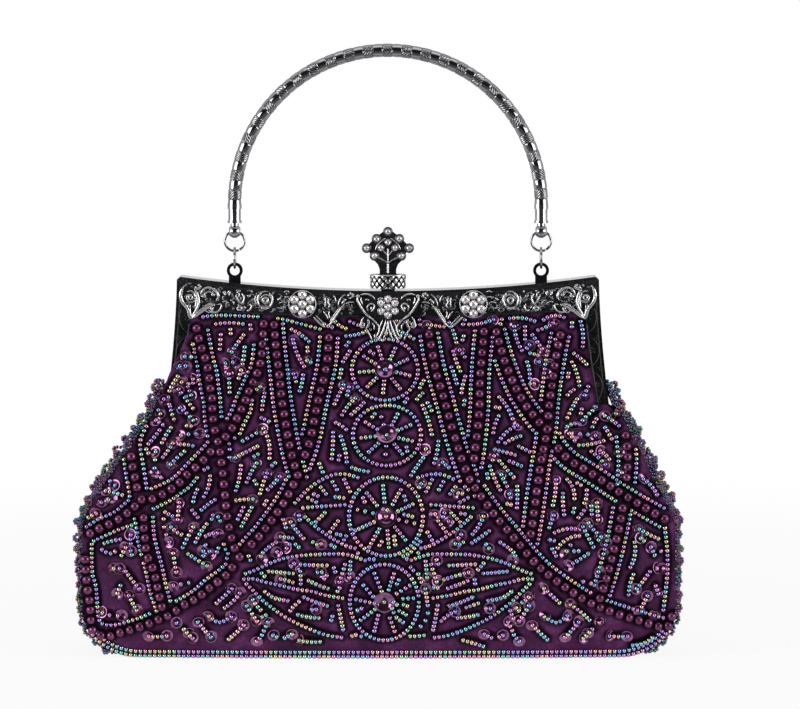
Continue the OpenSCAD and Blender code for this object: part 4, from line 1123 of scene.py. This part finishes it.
def bead_meshes(side, way, seed, pearl, chunk, slot):
    """The planned beads as merged meshes on one face of the bag."""
    s = arr(plan.pearls)
    c, n = on_cloth(s[:, 0], s[:, 1], PEARL_LIFT), normal(s[:, 0], s[:, 1])
    size = rng.uniform(*PEARL_SIZES, len(s))
    bend(scatter(side + "_pearls", pearl, c * way, heading(s) * way, n * way, PEARLS, size), side, None)
    s = arr(plan.seeds)
    s = s[np.argsort(s[:, 0])]
    n = normal(s[:, 0], s[:, 1])
    c = on_cloth(s[:, 0], s[:, 1], SEED_LIFT) + n * s[:, 5:6]
    d = heading(s)
    d += rng.normal(0, SEED_TILT, d.shape)
    for i in range(0, len(s), chunk):
        k = slice(i, i + chunk)
        size = rng.uniform(*SEED_SIZES, len(c[k]))
        name = f"{side}_seeds_{i // chunk + 1}"
        bend(scatter(name, seed, c[k] * way, d[k] * way, n[k] * way, BEADS, size, s[k, 4]), side, slot)
    s = arr(plan.cups)
    c, n = on_cloth(s[:, 0], s[:, 1], SEQUIN_LIFT), normal(s[:, 0], s[:, 1])
    tip = n + rng.normal(0, SEQUIN_TILT, n.shape) * arr([1, 0.2, 1])
    up = np.tile(arr([1.0, 0, 0]), (len(s), 1))
    bend(scatter(side + "_sequins", DISH, c * way, tip * way, up, SEQUIN, s[:, 2]), side, None)


bead_meshes("front", arr([1, 1, 1]), SEED, PEARL, 1500, "beads")
bead_meshes("rear", TO_REAR, SEED_LIGHT, PEARL_LIGHT, 2200, None)


# Bead fringe along the seams, and the hem rows.
FRINGE_PITCH, LOOP_PITCH, LOOP_FLOOR = 2.7, 1.5, 1.1
TALL_LOOP, LOW_LOOP, LOOP_WIDTH = (3.0, 4.6), (1.2, 2.4), (1.5, 2.4)
LOOP_SLANT, LOOP_LEAN, LOOP_TIP = 0.42, 0.42, 0.35
# The loops are shorter near the foot than higher up.
LOOP_SHORT, LOOP_LONG = 0.62, 1.15


def seam(side, y_sign):
    """The seam between a face and a side wall, from the hem up past the hinge; side is -1 or 1."""
    z = 3.0 + 116.5 * np.linspace(0, 1, 260) ** 1.25
    x = side * (fringe_x(z, side) - 0.2) + shift(z)
    return np.stack([x, y_sign * side_half(z), z], -1)


def fringe(name, side, y_sign, body, *nodes):
    """Standing loops of beads on a seam: a tall one and a low one in turn, each leaning its own way."""
    centres, dirs, ups, hues = [], [], [], []
    q, t = walk(seam(side, y_sign), FRINGE_PITCH)
    for i, (foot, along) in enumerate(zip(q, unit(t))):
        out = np.array([side, y_sign * LOOP_SLANT, 0.0])
        out -= along * out.dot(along)
        out /= np.linalg.norm(out)
        across = np.cross(out, along)
        lean = rng.normal(0, LOOP_LEAN)
        plane = along * math.cos(lean) + across * math.sin(lean)
        reach = mix(LOOP_SHORT, LOOP_LONG, float(smooth(30, 80, foot[2])))
        tall = rng.uniform(*(TALL_LOOP if i % 2 else LOW_LOOP)) * reach
        wide = rng.uniform(*LOOP_WIDTH)
        tip = rng.normal(0, LOOP_TIP)
        hue = rng.random()
        count = int(round(math.pi * math.sqrt((tall ** 2 + wide ** 2) / 2) / LOOP_PITCH))
        for k in range(count):
            a = math.pi * (k + 0.5) / count
            u, v = -math.cos(a) * wide, math.sin(a) * tall
            c = foot + plane * (u + v * tip) + out * (v - 0.5) + across * rng.normal(0, 0.1)
            c[2] = max(c[2], LOOP_FLOOR)
            centres.append(c)
            dirs.append(plane * math.sin(a) * wide + out * math.cos(a) * tall)
            ups.append(across)
            hue = (hue + rng.normal(0, 0.12)) % 1
            hues.append(hue)
    size = rng.uniform(*FRINGE_SIZES, len(centres))
    bend(scatter(name, SEED_SMALL, centres, dirs, ups, DARK_BEADS, size, hues), body, "beads", *nodes)


for side, sign in (("left", -1), ("right", 1)):
    fringe(side + "_fringe_front", sign, -1, "front", side + "_bead_fringe")
    fringe(side + "_fringe_rear", sign, 1, "rear")


def hem_path(d):
    """A line round the foot of a face, d above the base seam, running up into both corners."""
    a = np.radians(np.linspace(62, 0, 40))
    straight = BAG_HALF - CORNER_WIDE
    x = -(straight + (CORNER_WIDE - d) * np.sin(a))
    left = np.stack([x, CORNER_HIGH - (CORNER_HIGH - d) * np.cos(a)], -1)
    return np.vstack([left, (left * arr([-1, 1]))[::-1]])


HEM_ROWS, HEM_PITCH = (1.25, 3.35), 2.12


def hem(side, way, template):
    """Two rows of beads round the foot of a face."""
    parts = []
    for d in HEM_ROWS:
        q, t = walk(hem_path(d), HEM_PITCH)
        x = q[:, 0] + shift(q[:, 1])
        direction = np.stack([t[:, 0], 0 * t[:, 0], t[:, 1]], -1)
        hue = np.cumsum(rng.normal(0, 0.16, len(q))) % 1
        parts.append((on_cloth(x, q[:, 1], 0.9) * way, direction * way, normal(x, q[:, 1]) * way, hue))
    c, d, n, hue = (np.concatenate(p) for p in zip(*parts))
    ob = scatter(side + "_hem_beads", template, c, d, n, BEADS, np.ones(len(c)), hue)
    ride(ob, "bag", "beads", side + "_hem")


hem("front", 1, SEED)
hem("rear", TO_REAR, SEED_LIGHT)

# Ornaments on the frame: for each stroke the width, the height and any groove, then points of the left half.
STROKES = """
1.05 0.75 184.5,285 181.5,290 180.3,296 182,302 186,306.5 189,311 190.5,318 / 0.85 0.7 193.5,287.5 196.5,292
198.5,298 199,304 197,309 193.5,314 191.5,319 / 0.8 0.65 194,292 196,298 196.5,304 194.5,309 / 1.15 0.8 0.4
189.5,303 188.5,309 189.5,315 191.3,319.5 / 1.0 0.75 191,319 196,314.5 201,310.5 206,307 211,305 216,304.2 /
0.7 0.6 193.5,318.5 199,313.5 205,309.5 210,307 / 0.8 0.65 217,304.5 220.5,303.8 221.8,306 219.8,310
216,312.5 211.5,312.3 208.3,309.5 / 0.9 0.7 200.5,297 201,292.5 203.5,289 207.5,287.3 211.5,288 215,290.5
217.5,294 218,298 216,301 / 0.7 0.55 213.5,287.5 217,291 219,295.5 218.8,299 / 0.7 0.55 203.5,296 206.5,292
210,291.3 213.5,294.5 / 0.9 0.7 201,296 204,296.8 206.5,295.5 / 0.9 0.7 211,294 213.8,296 214.5,293.5 / 0.75
0.6 195,286 197,289.5 200,288 201.5,285.5 / 0.7 0.55 223.5,291 223.8,294 226,295.2 / 0.8 0.6 228,290.5
230,293.5 228.6,296 / 0.8 0.6 235.5,294 237,299 240.5,303.5 243.8,302 244,298.5 / 0.9 0.7 241.5,293
243.8,296.5 244,300.5 241.8,304.5 / 0.7 0.6 236.5,291.5 239.5,294.2 238.5,298 / 0.7 0.6 247,295 249.5,297.5
250,294.5 / 0.85 0.65 236,309.5 239.5,306 242.5,307.5 240.5,310.3 236.5,309.6 / 0.85 0.65 246.2,311
250.2,310 251.6,306.5 249.5,303.5 / 0.6 0.5 243.8,306 246,308.6 / 0.6 0.5 230,299.5 233.5,301.5 234,305 /
0.55 0.45 222,302 226,301 229,303.5 / 0.95 0.7 259.5,306.5 257.3,301.5 258.5,296 262,292.2 / 0.95 0.7
269,292.5 272.4,297 272.6,302.5 269.5,307.3 / 0.55 0.45 256.5,305.5 254.6,300 256,294.5 / 0.8 0.6
260.5,307.5 264.5,309.2 269,308 / 0.85 0.65 277,300.4 280.8,297.6 / 0.55 0.45 279,303 284,301.6 288,303.4 /
0.55 0.45 283.5,292.5 287,290.5 289.5,292.6 / 0.55 0.45 284,297 288,296.5 290.5,299 / 0.5 0.4 276,307.5
281,308.6 286,307 / 0.9 0.75 313,316.5 317,320.5 321.5,324.8 326,327.6 / 0.6 0.6 315.5,315 320,319.5
325.5,325 / 1.0 0.8 326,327.6 330.5,324 334,318.5 338,312.5 341.5,307.5 345,303 / 0.6 0.6 329.5,322.5
333,316.5 337,310.5 340.5,306 / 0.75 0.6 326.5,297.5 329,299.5 327.6,302.6 330,305.2 328,308.4 / 0.65 0.55
324.8,296.5 325.5,302 325,308 / 0.65 0.55 333.5,295 335.6,299.5 336,303 / 0.6 0.5 338,308 338.6,302.5
341,297.5 345.5,294 / 0.7 0.6 323,311 326,314.5 328.5,319.5 / 0.6 0.5 329.5,310.5 328.5,315 330.5,318.6 /
0.9 0.7 341.5,304.5 344,300.5 346.8,299 / 0.8 0.65 347,296.5 350.5,293.4 354.5,294.8 / 0.7 0.6 349,299
352.5,296.6 355.5,296.3 / 0.7 0.6 350,292 351.5,294.6 354,296.8 / 0.6 0.5 345,304 350,301.8 355,302.4 / 1.05
0.85 358,295 356.8,299 359,303.5 362,308.5 365.5,313.5 369.5,316.8 374,319.5 / 0.7 0.7 361.5,296.5 360.6,300
363,304.6 / 0.7 0.7 360,294.8 366,293.4 372,295.2 375.5,299.5 / 0.75 0.75 368.5,311 366.8,307.5 368.8,303.8
372.4,303 374.6,305.6 373.6,309.4 370.2,311.5 / 0.95 0.85 371.5,306.2 370.8,309.8 / 0.75 0.7 364.5,316.5
362,318.8 361.4,322.6 359.5,325.5 362,327.6 365.4,326.4 / 0.9 0.8 0.3 367.5,318 369.2,322.2 368,326.6
365.2,328.4 / 0.7 0.65 365.5,327.5 368,331.5 370.4,336 372.2,340.2 / 0.75 0.7 371,318 376,322 379.6,326.8
379,332 375.4,337.4 / 0.65 0.65 372,322.5 374.8,326.2 373.6,330 / 0.8 0.8 385.8,318.5 385.2,324 383,330
380,337 376.8,341.5 / 0.7 0.75 388,319 387.8,326 386,333 382.6,339.8 / 0.6 0.6 382.6,319 381,324.4
377.6,329.4 / 0.8 0.75 390.8,325 392.6,331 395.6,336 399,338.6 401.8,336.4 400.6,332.6 / 0.6 0.6 377.5,299.4
380.5,297.4 383.6,298.8 / 0.6 0.6 364.8,300 367.5,298.8 369.4,300.6
"""
STROKE_BOLD, CORNER_BOLD, STROKE_TALL = 1.3, 1.75, 1.25
# Where the picture's left end ornament ends, and where the middle plate begins.
CORNER_RIGHT, PLATE_LEFT = 200, 355
# Bosses: place in the picture, radius, height, and whether it has a pit.
BOSSES = (
    (190.5, 297.5, 1.25, 0.8, True), (224.5, 292.5, 0.7, 0.5, True), (229, 292.6, 0.7, 0.5, True),
    (211.8, 308.6, 0.95, 0.6, True), (265.3, 300.4, 1.75, 0.75, True), (199, 285.3, 0.6, 0.45, False),
    (239.5, 291, 0.5, 0.4, False), (252, 291.5, 0.5, 0.4, False), (363, 324.2, 1.0, 0.7, True),
    (358, 296, 0.8, 0.7, False), (382.4, 340, 0.7, 0.6, False),
)
# Spirals: place in the picture, first and last radius, turns, start in degrees and way.
SPIRALS = (
    (190.5, 297.5, 3.0, 1.1, 1.2, 120, -1), (265.3, 300.4, 4.1, 2.1, 1.35, 60, 1),
    (209.5, 308.8, 2.6, 1.0, 1.1, 20, 1),
)
# Scallops down the arm, and the small leaves in them by place and radius.
SCALLOPS = """
594,307 597,318 595,327 586.8,334.4 / 589.5,335.7 597.5,343 599.7,351 598.4,359 590.8,368.8 /
593,371.4 599.3,376 602,382 602.5,389.5 600,398 596,404
"""
LEAVES = (
    (588, 317, 1.9), (592.5, 350.5, 1.7), (597.5, 338, 1.2), (600.6, 368, 1.2), (596.8, 385, 1.4),
    (588.5, 304, 1.2),
)
MITRE = (597.6, 279.4), (590.8, 287.2)
CURLS = 210


def stroke_face(px, y):
    """The face that a stroke lies on; only the front has the middle plate."""
    if y > 0:
        return y
    if min(a for a, b in px) > PLATE_LEFT:
        return PLATE_Y
    return PLATE_EDGE_Y if any(311 < a < 331 for a, b in (px[0], px[-1])) else FACE_Y


def scrolls(y):
    """Scrolls, leaves and bosses on the bar."""
    heap = Heap()
    for way in (1, -1):
        for px, sizes in drawing(STROKES):
            if y > 0 and min(a for a, b in px) > PLATE_LEFT:
                continue
            width, height, groove = ([float(v) for v in sizes] + [0.0])[:3]
            width *= CORNER_BOLD if px[0][0] < CORNER_RIGHT else STROKE_BOLD
            line = to_plane(px) * arr([way, 1])
            ribbon(heap, line, width, height * STROKE_TALL, stroke_face(px, y), 0.2, groove)
        for a, b, r, h, hollow in BOSSES:
            if y > 0 and a > PLATE_LEFT:
                continue
            x, z = to_plane([(a, b)])[0]
            boss(heap, way * x, z, r, h, PLATE_Y if a > PLATE_LEFT else y, hollow)
        for a, b, *turning in SPIRALS:
            line = spiral(*to_plane([(a, b)])[0], *turning) * arr([way, 1])
            ribbon(heap, line, 0.75, 0.62, y, 0.1, curve=False)
    return heap


def scallops(y):
    """Scallops with small leaves down the arms, and smooth rims round the frame."""
    heap = Heap()

    def rim(x, z, width, height, taper):
        ribbon(heap, np.stack([x, z], -1), width, height, y, taper, curve=False)

    for way in (1, -1):
        for px, _ in drawing(SCALLOPS):
            ribbon(heap, to_plane(px) * arr([way, 1]), 0.62, 0.42, y, 0.12)
        for a, b, r in LEAVES:
            middle = to_plane([(a, b)])[0]
            for w in 2 * math.pi * np.arange(5) / 5 + 0.5:
                reach = r * arr([math.cos(w), math.sin(w)])
                leaf = [(middle + f * reach) * arr([way, 1]) for f in (0.2, 1.0)]
                ribbon(heap, leaf, 0.62, 0.32, y, 0.3, curve=False, step=0.3)
    x = np.linspace(-91.4, 91.4, 120)
    rim(x, top_z(x) - 2.0, 0.5, 0.22, 0.0)
    for way in (1, -1):
        ribbon(heap, to_plane(MITRE) * arr([way, 1]), 0.7, 0.3, y, 0.1, curve=False)
        z = np.linspace(162.5, 104, 60)
        rim(way * (outer_x(z) - 1.5), z, 0.45, 0.2, 0.02)
        z = np.linspace(146, 106, 50)
        rim(way * (inner_x(z) + 0.55), z, 0.8, 0.34, 0.02)
    x = np.linspace(-84, 84, 120)
    rim(x, bar_foot(x) + 0.5, 0.6, 0.3, 0.0)
    return heap


def worn_curls(y):
    """Small worn curls that fill the ground between the scrolls."""
    heap = Heap()
    for way in (1, -1):
        for _ in range(CURLS):
            x = rng.uniform(15, 88)
            z = rng.uniform(float(bar_foot(x)) + 1.4, float(top_z(x)) - 3.0)
            r, a, turn = rng.uniform(0.5, 1.3), rng.uniform(0, 360), rng.uniform(0.3, 0.75)
            arc = spiral(way * x, z, r, r * rng.uniform(0.4, 1.0), turn, a, int(rng.choice([-1, 1])))
            width, height = rng.uniform(0.6, 1.1), rng.uniform(0.25, 0.5)
            ribbon(heap, arc[::2], width, height, y, 0.25, curve=False, sections=5, step=0.5)
    return heap


for side, y in (("front", FACE_Y), ("rear", -FACE_Y)):
    for make, name, paint in ((worn_curls, "worn_curls", DIM), (scrolls, "scrollwork", RELIEF),
                              (scallops, "scallops", SCALLOP)):
        ride(make(y).build(f"{side}_{name}", paint), side + "_half", "gunmetal")

# Stones and their cups.
ROSETTE_X, ROSETTE_Z, ROSETTE_Y, ROSETTE_RIM = 37.5, 154.58, -7.58, 5.95
ORNAMENT_Z = 153.37
# The finial is a fan, in parts of its half width and of its height over the collar.
FAN_HALF, FAN_FOOT, FAN_HIGH, FAN_Y, FAN_BACK = 11.1, 169.6, 18.9, -2.3, 1.6
FINIAL_STONES = (
    (0, 0.87), (-0.45, 0.705), (0.45, 0.705), (-0.84, 0.487), (0.84, 0.487), (-0.53, 0.307), (0.53, 0.307),
    (0, 0.63), (-0.28, 0.497), (0.28, 0.497),
)
LOBES = FINIAL_STONES[:7]


def fan(a, b):
    return a * FAN_HALF, FAN_FOOT + b * FAN_HIGH


def circle(x, z, r, degrees):
    """Places round a centre."""
    turn = np.radians(degrees)
    return np.stack([x + r * np.cos(turn), z + r * np.sin(turn)], -1)


def jewels(name, body, y, r, spots, paint, rims=()):
    """Cut stones in their cups, in place of the plain stones of the CAD."""
    gems, cups = Heap(), Heap()
    for x, z in spots:
        stone(gems, x, y - 0.12, z, r, 1.0, rng.uniform(0, 1))
        claw_ring(cups, x, y, z, r, rng.uniform(0, 1))
    for line in rims:
        ribbon(cups, line, 0.5, 0.5, y, 0.0, curve=False)
    ride(gems.build(name + "_gems", CRYSTAL, False), body, "crystal", name + "_stones")
    ride(cups.build(name + "_claws", paint), body, "silver_plate")


SIXTHS = np.arange(6) * 60
MIDDLES = [(way * ROSETTE_X, ROSETTE_Z) for way in (-1, 1)]
petals = [spot for x, z in MIDDLES for spot in circle(x, z, 4.05, SIXTHS + 30)]
rims = [circle(x, z, ROSETTE_RIM, np.linspace(0, 360, 60)) for x, z in MIDDLES]
jewels("rosette", "front_half", ROSETTE_Y, 1.6, petals + MIDDLES, RELIEF, rims)
petals = list(circle(0, ORNAMENT_Z, 3.5, SIXTHS + 90))
jewels("ornament", "front_half", PLATE_Y, 1.32, petals + [(0, ORNAMENT_Z)], RELIEF)
jewels("finial", "lock_lever", FAN_Y, 1.3, [fan(*spot) for spot in FINIAL_STONES], DIM)


# Finial: wires and lobes on a plate with a stem, the pivot barrel and the nose.
WIRES = (
    (1.1, 0.55, (0, -0.13), (0, 0.0), (0, 0.15)),
    (0.7, 0.5, (0, 0.15), (-0.2, 0.22), (-0.44, 0.29)), (0.7, 0.5, (0, 0.15), (0.2, 0.22), (0.44, 0.29)),
    (0.75, 0.5, (0, 0.15), (0, 0.28), (0, 0.5)),
    (0.65, 0.5, (0, 0.31), (-0.12, 0.39), (-0.24, 0.47)), (0.65, 0.5, (0, 0.31), (0.12, 0.39), (0.24, 0.47)),
    (0.75, 0.6, (-0.5, 0.44), (-0.44, 0.55), (-0.3, 0.64), (-0.1, 0.72)),
    (0.75, 0.6, (0.5, 0.44), (0.44, 0.55), (0.3, 0.64), (0.1, 0.72)),
)
FAN_SIDE = (0.45, 0.76), (0.84, 0.53), (0.62, 0.25), (0.40, 0.11), (0.329, 0.0), (0.329, -0.275)
PIN_Z, BARREL_R, BARREL_HALF = 164.4, 1.55, 3.65
NOSE_HALF, NOSE_FOOT, NOSE_FRONT, NOSE_BACK = 2.5, 161.4, 0.4, 1.4
LOCK_Y = -1.5


def finial_plate():
    heap = Heap()
    right = [fan(*spot) for spot in FAN_SIDE]
    shape = [fan(0, 0.95)] + right + [(-x, z) for x, z in right[::-1]]
    count = len(shape)
    hub_x, hub_z = fan(0, 0.4)
    front, back = FAN_Y + 0.02, FAN_Y + FAN_BACK
    for y, way in ((front, 1), (back, -1)):
        co = [(hub_x, y, hub_z)] + [(x, y, z) for x, z in shape]
        heap.add(co, [(0, 1 + k, 1 + (k + 1) % count)[::way] for k in range(count)], 0.35)
    edge = [(x, y, z) for y in (front, back) for x, z in shape]
    heap.add(edge, [(k, count + k, count + (k + 1) % count, (k + 1) % count) for k in range(count)], 0.5)
    ends = [(r, side * BARREL_HALF) for r, side in ((0.02, -1), (BARREL_R, -1), (BARREL_R, 1), (0.02, 1))]
    co, f = lathe(ends, 20)
    heap.add(np.stack([co[:, 2], co[:, 0] + LOCK_Y, co[:, 1] + PIN_Z], -1), f, 0.4)
    block(heap, (-NOSE_HALF, LOCK_Y, PIN_Z - BARREL_R), (NOSE_HALF, NOSE_BACK, PIN_Z), 0.4)
    block(heap, (-NOSE_HALF, NOSE_FRONT, NOSE_FOOT), (NOSE_HALF, NOSE_BACK, PIN_Z - BARREL_R), 0.4)
    return heap.build("finial_plate", LEAFY, False)


def finial_wires():
    heap = Heap()
    for width, height, *spots in WIRES:
        ribbon(heap, [fan(*spot) for spot in spots], width, height, FAN_Y, 0.05)
    return heap.build("finial_wires", RELIEF)


def finial_lobes():
    heap = Heap()
    profile = (0.02, -1.25), (1.95, -1.25), (2.15, -0.9), (2.15, -0.1), (1.95, 0.15), (0.5, 0.2), (0.02, 0.2)
    for spot in LOBES:
        x, z = fan(*spot)
        turned(heap, profile, 24, x, FAN_Y, z, [0, 0.3, 0.6, 0.6, 0.9, 0.4, 0.4])
    return heap.build("finial_lobes", SCALLOP)


ride(finial_plate(), "lock_lever", "silver_plate", "lock_finial")
ride(finial_wires(), "lock_lever", "silver_plate")
ride(finial_lobes(), "lock_lever", "silver_plate")

# Knurled collar.
COLLAR_FOOT, COLLAR_TOP = 161.2, 167.15
COLLAR_HALF_X, COLLAR_HALF_Y = 7.45, 5.25
COLLAR_AROUND, COLLAR_UP = 440, 60
DIAMONDS, DIAMOND_CLIMB = 14, 1.75


def collar():
    """An oval sleeve with crossed cuts, and a smooth rolled rim that turns down inside it."""
    heap = Heap()
    a = np.linspace(0, 2 * math.pi, COLLAR_AROUND, endpoint=False)
    z = np.linspace(COLLAR_FOOT, COLLAR_TOP, COLLAR_UP)
    A, Z = np.meshgrid(a, z, indexing="xy")
    t = (Z - COLLAR_FOOT) / (COLLAR_TOP - COLLAR_FOOT)
    climb = t * math.pi * DIAMOND_CLIMB
    cross = np.abs(np.sin(A * DIAMONDS / 2 + climb)) * np.abs(np.sin(A * DIAMONDS / 2 - climb))
    band = smooth(0.0, 0.04, t) * (1 - smooth(0.90, 0.96, t))
    lift = 0.42 * np.sqrt(cross) * band + 0.25 * (1 - band) + 0.125 * smooth(0.3, 1.0, t)
    rise = np.where(band > 0.5, 0.05 + 1.1 * smooth(0.18, 0.5, cross), 0.6)
    outer = np.stack([(COLLAR_HALF_X + lift) * np.cos(A), (COLLAR_HALF_Y + lift) * np.sin(A) + LOCK_Y, Z], -1)
    heap.add(outer, grid_faces(COLLAR_UP, COLLAR_AROUND, wrap_cols=True), rise)
    steps = (0.25, 0.0), (0.1, 0.18), (-0.3, 0.24), (-0.7, 0.12), (-0.85, -0.3), (-0.85, -4.6)
    rim = [np.stack([(COLLAR_HALF_X + out) * np.cos(a), (COLLAR_HALF_Y + out) * np.sin(a) + LOCK_Y,
                     COLLAR_TOP + up + 0 * a], -1) for out, up in steps]
    crests = np.repeat([0.9, 1, 1, 0.9, 0.3, 0.0], COLLAR_AROUND)
    heap.add(rim, grid_faces(len(rim), COLLAR_AROUND, wrap_cols=True), crests)
    return heap.build("lock_collar_knurled", KNURL)


ride(collar(), "front_half", "silver_plate", "lock_collar")

# Handle with smooth panels and slanted ribs in turn.
HANDLE_R, HANDLE_Z, HANDLE_Y = 67.2, 198.412, -3.375
HANDLE_RINGS, HANDLE_AROUND = 1000, 60
HANDLE_TUBE = 2.78
PANELS, PANEL_START = 25.0, 0.25
RIB_PITCH, RIB_SLANT = 1.2, 13


def handle():
    length = math.pi * HANDLE_R
    s = np.linspace(0, length, HANDLE_RINGS)
    S, P = np.meshgrid(s, np.arange(HANDLE_AROUND) * 2 * math.pi / HANDLE_AROUND, indexing="ij")
    panel = S / length * PANELS + PANEL_START
    at = panel % 1.0
    ribbed = smooth(0.46, 0.52, at) * (1 - smooth(0.94, 1.0, at))
    slant = np.where(panel // 1 % 2 == 0, RIB_SLANT, -RIB_SLANT)
    ribs = np.abs(np.sin(math.pi * (S / RIB_PITCH + P / (2 * math.pi) * slant)))
    dip = np.exp(-((at - 0.49) / 0.02) ** 2) + np.exp(-((at - 0.97) / 0.02) ** 2)
    crown = 0.12 * (1 - ribbed) * np.sin(math.pi * np.clip(at / 0.5, 0, 1))
    r = HANDLE_TUBE + crown + ribbed * (0.42 * ribs - 0.24) - 0.22 * dip
    rise = np.where(ribbed > 0.5, 0.1 + 1.3 * ribs ** 2, 0.8) - 0.6 * dip
    theta = math.pi - S / HANDLE_R
    out = HANDLE_R + r * np.cos(P)
    p = np.stack([out * np.cos(theta), HANDLE_Y + r * np.sin(P), HANDLE_Z + out * np.sin(theta)], -1)
    faces = grid_faces(HANDLE_RINGS, HANDLE_AROUND, wrap_cols=True)
    return mesh("handle_twist", p, faces, HANDLE, rise=rise, rib=ribbed * ribs ** 2)


ride(handle(), "handle", "silver_plate", "handle_arch")

# Finishes of the CAD nodes that stay.
for mat, names in (
    (CARD, "base_board"), (GROUND, "front_frame rear_frame"), (BLACK, "left_lug right_lug"),
    (LEAFY, "centre_ornament left_rosette right_rosette left_hinge_rivet right_hinge_rivet"),
    (SILVER, "lock_pin lock_spring lock_keeper left_link_ring right_link_ring left_eye_ring right_eye_ring"),
    (SILVER, "left_ferrule right_ferrule left_ball_end right_ball_end"),
):
    for name in names.split():
        NODES[name].data.materials.clear()
        NODES[name].data.materials.append(mat)


# Floor, light and camera; lengths from here on are in metres.
FLOOR_HALF, FLOOR_STEPS = 2600, 9


def stage_paint():
    """A pale floor that keeps the bag's shadow; farther off it is plain white, and in gloss it glows, white
    behind the bag and dim in front of it.
    """
    p = Paint("stage_white")
    p.set(Base_Color=(0.86, 0.86, 0.87), Roughness=0.9, Specular_IOR_Level=0.1)
    camera_ray, gloss_ray = p.paths()
    place = p.new("ShaderNodeNewGeometry").outputs["Position"]
    away = p.new("ShaderNodeVectorMath", operation="LENGTH")
    p.feed(away.inputs[0], place)
    plain = p.level(away.outputs["Value"], 0.90, 1.0, 0.25, 0.8, "SMOOTHSTEP")
    share = p.math("ADD", p.times(camera_ray, plain), p.times(gloss_ray, 0.97), True)
    behind = p.level(p.part(place, "Y"), 0.15, 1.0, -0.4, 0.05, "SMOOTHSTEP")
    white = p.glow("ShaderNodeEmission", p.math("MAXIMUM", behind, camera_ray))
    p.feed(p.out.inputs["Surface"], p.either(share, p.b.outputs[0], white))
    return p.mat


steps = np.linspace(-FLOOR_HALF, FLOOR_HALF, FLOOR_STEPS)
corners = [(x, y, 0.0) for y in steps for x in steps]
mesh("studio_floor", corners, grid_faces(FLOOR_STEPS, FLOOR_STEPS), stage_paint())


def studio_world():
    """Soft light for the object, white for the camera, and in gloss white behind and dark in front."""
    world = bpy.data.worlds.new("studio")
    world.use_nodes = True
    sky = Tree(world.node_tree)
    sky.nt.nodes.clear()
    camera_ray, gloss_ray = sky.paths()
    look = sky.part(sky.new("ShaderNodeTexCoord").outputs["Generated"], "Y")
    soft, mirror, white = (sky.glow("ShaderNodeBackground", strength) for strength in (
        0.30, sky.level(look, 0.03, 1.0, -0.55, 0.0, "SMOOTHSTEP"), 1.0))
    seen = sky.either(camera_ray, sky.either(gloss_ray, soft, mirror), white)
    sky.feed(sky.new("ShaderNodeOutputWorld").inputs["Surface"], seen)
    return world


bpy.context.scene.world = studio_world()


def place(name, data, spot, target):
    """Puts a lamp or camera at a spot and turns it to a target."""
    ob = bpy.data.objects.new(name, data)
    bpy.context.scene.collection.objects.link(ob)
    ob.location = spot
    ob.rotation_euler = (Vector(target) - Vector(spot)).to_track_quat("-Z", "Y").to_euler()
    return ob


def lamp(name, spot, target, size, power):
    light = bpy.data.lights.new(name, "AREA")
    light.shape = "RECTANGLE"
    light.size, light.size_y = size
    light.energy = power
    place(name, light, spot, target)


for name, way, power in (("softbox_left", -1, 15), ("softbox_right", 1, 13)):
    lamp(name, (way * 1.15, -0.66, 0.34), (0, 0, 0.11), (1.0, 0.9), power)
lamp("overhead", (0, -0.25, 1.3), (0, 0, 0.1), (1.4, 0.8), 3)

camera = bpy.data.cameras.new("camera")
camera.sensor_width = 36
camera.lens = camera.sensor_width * DISTANCE / (PICTURE_WIDTH * PIXEL)
camera.clip_end = 50
bpy.context.scene.camera = place("camera", camera, EYE * MM, AIM * MM)
bpy.context.scene.view_settings.view_transform = "Standard"
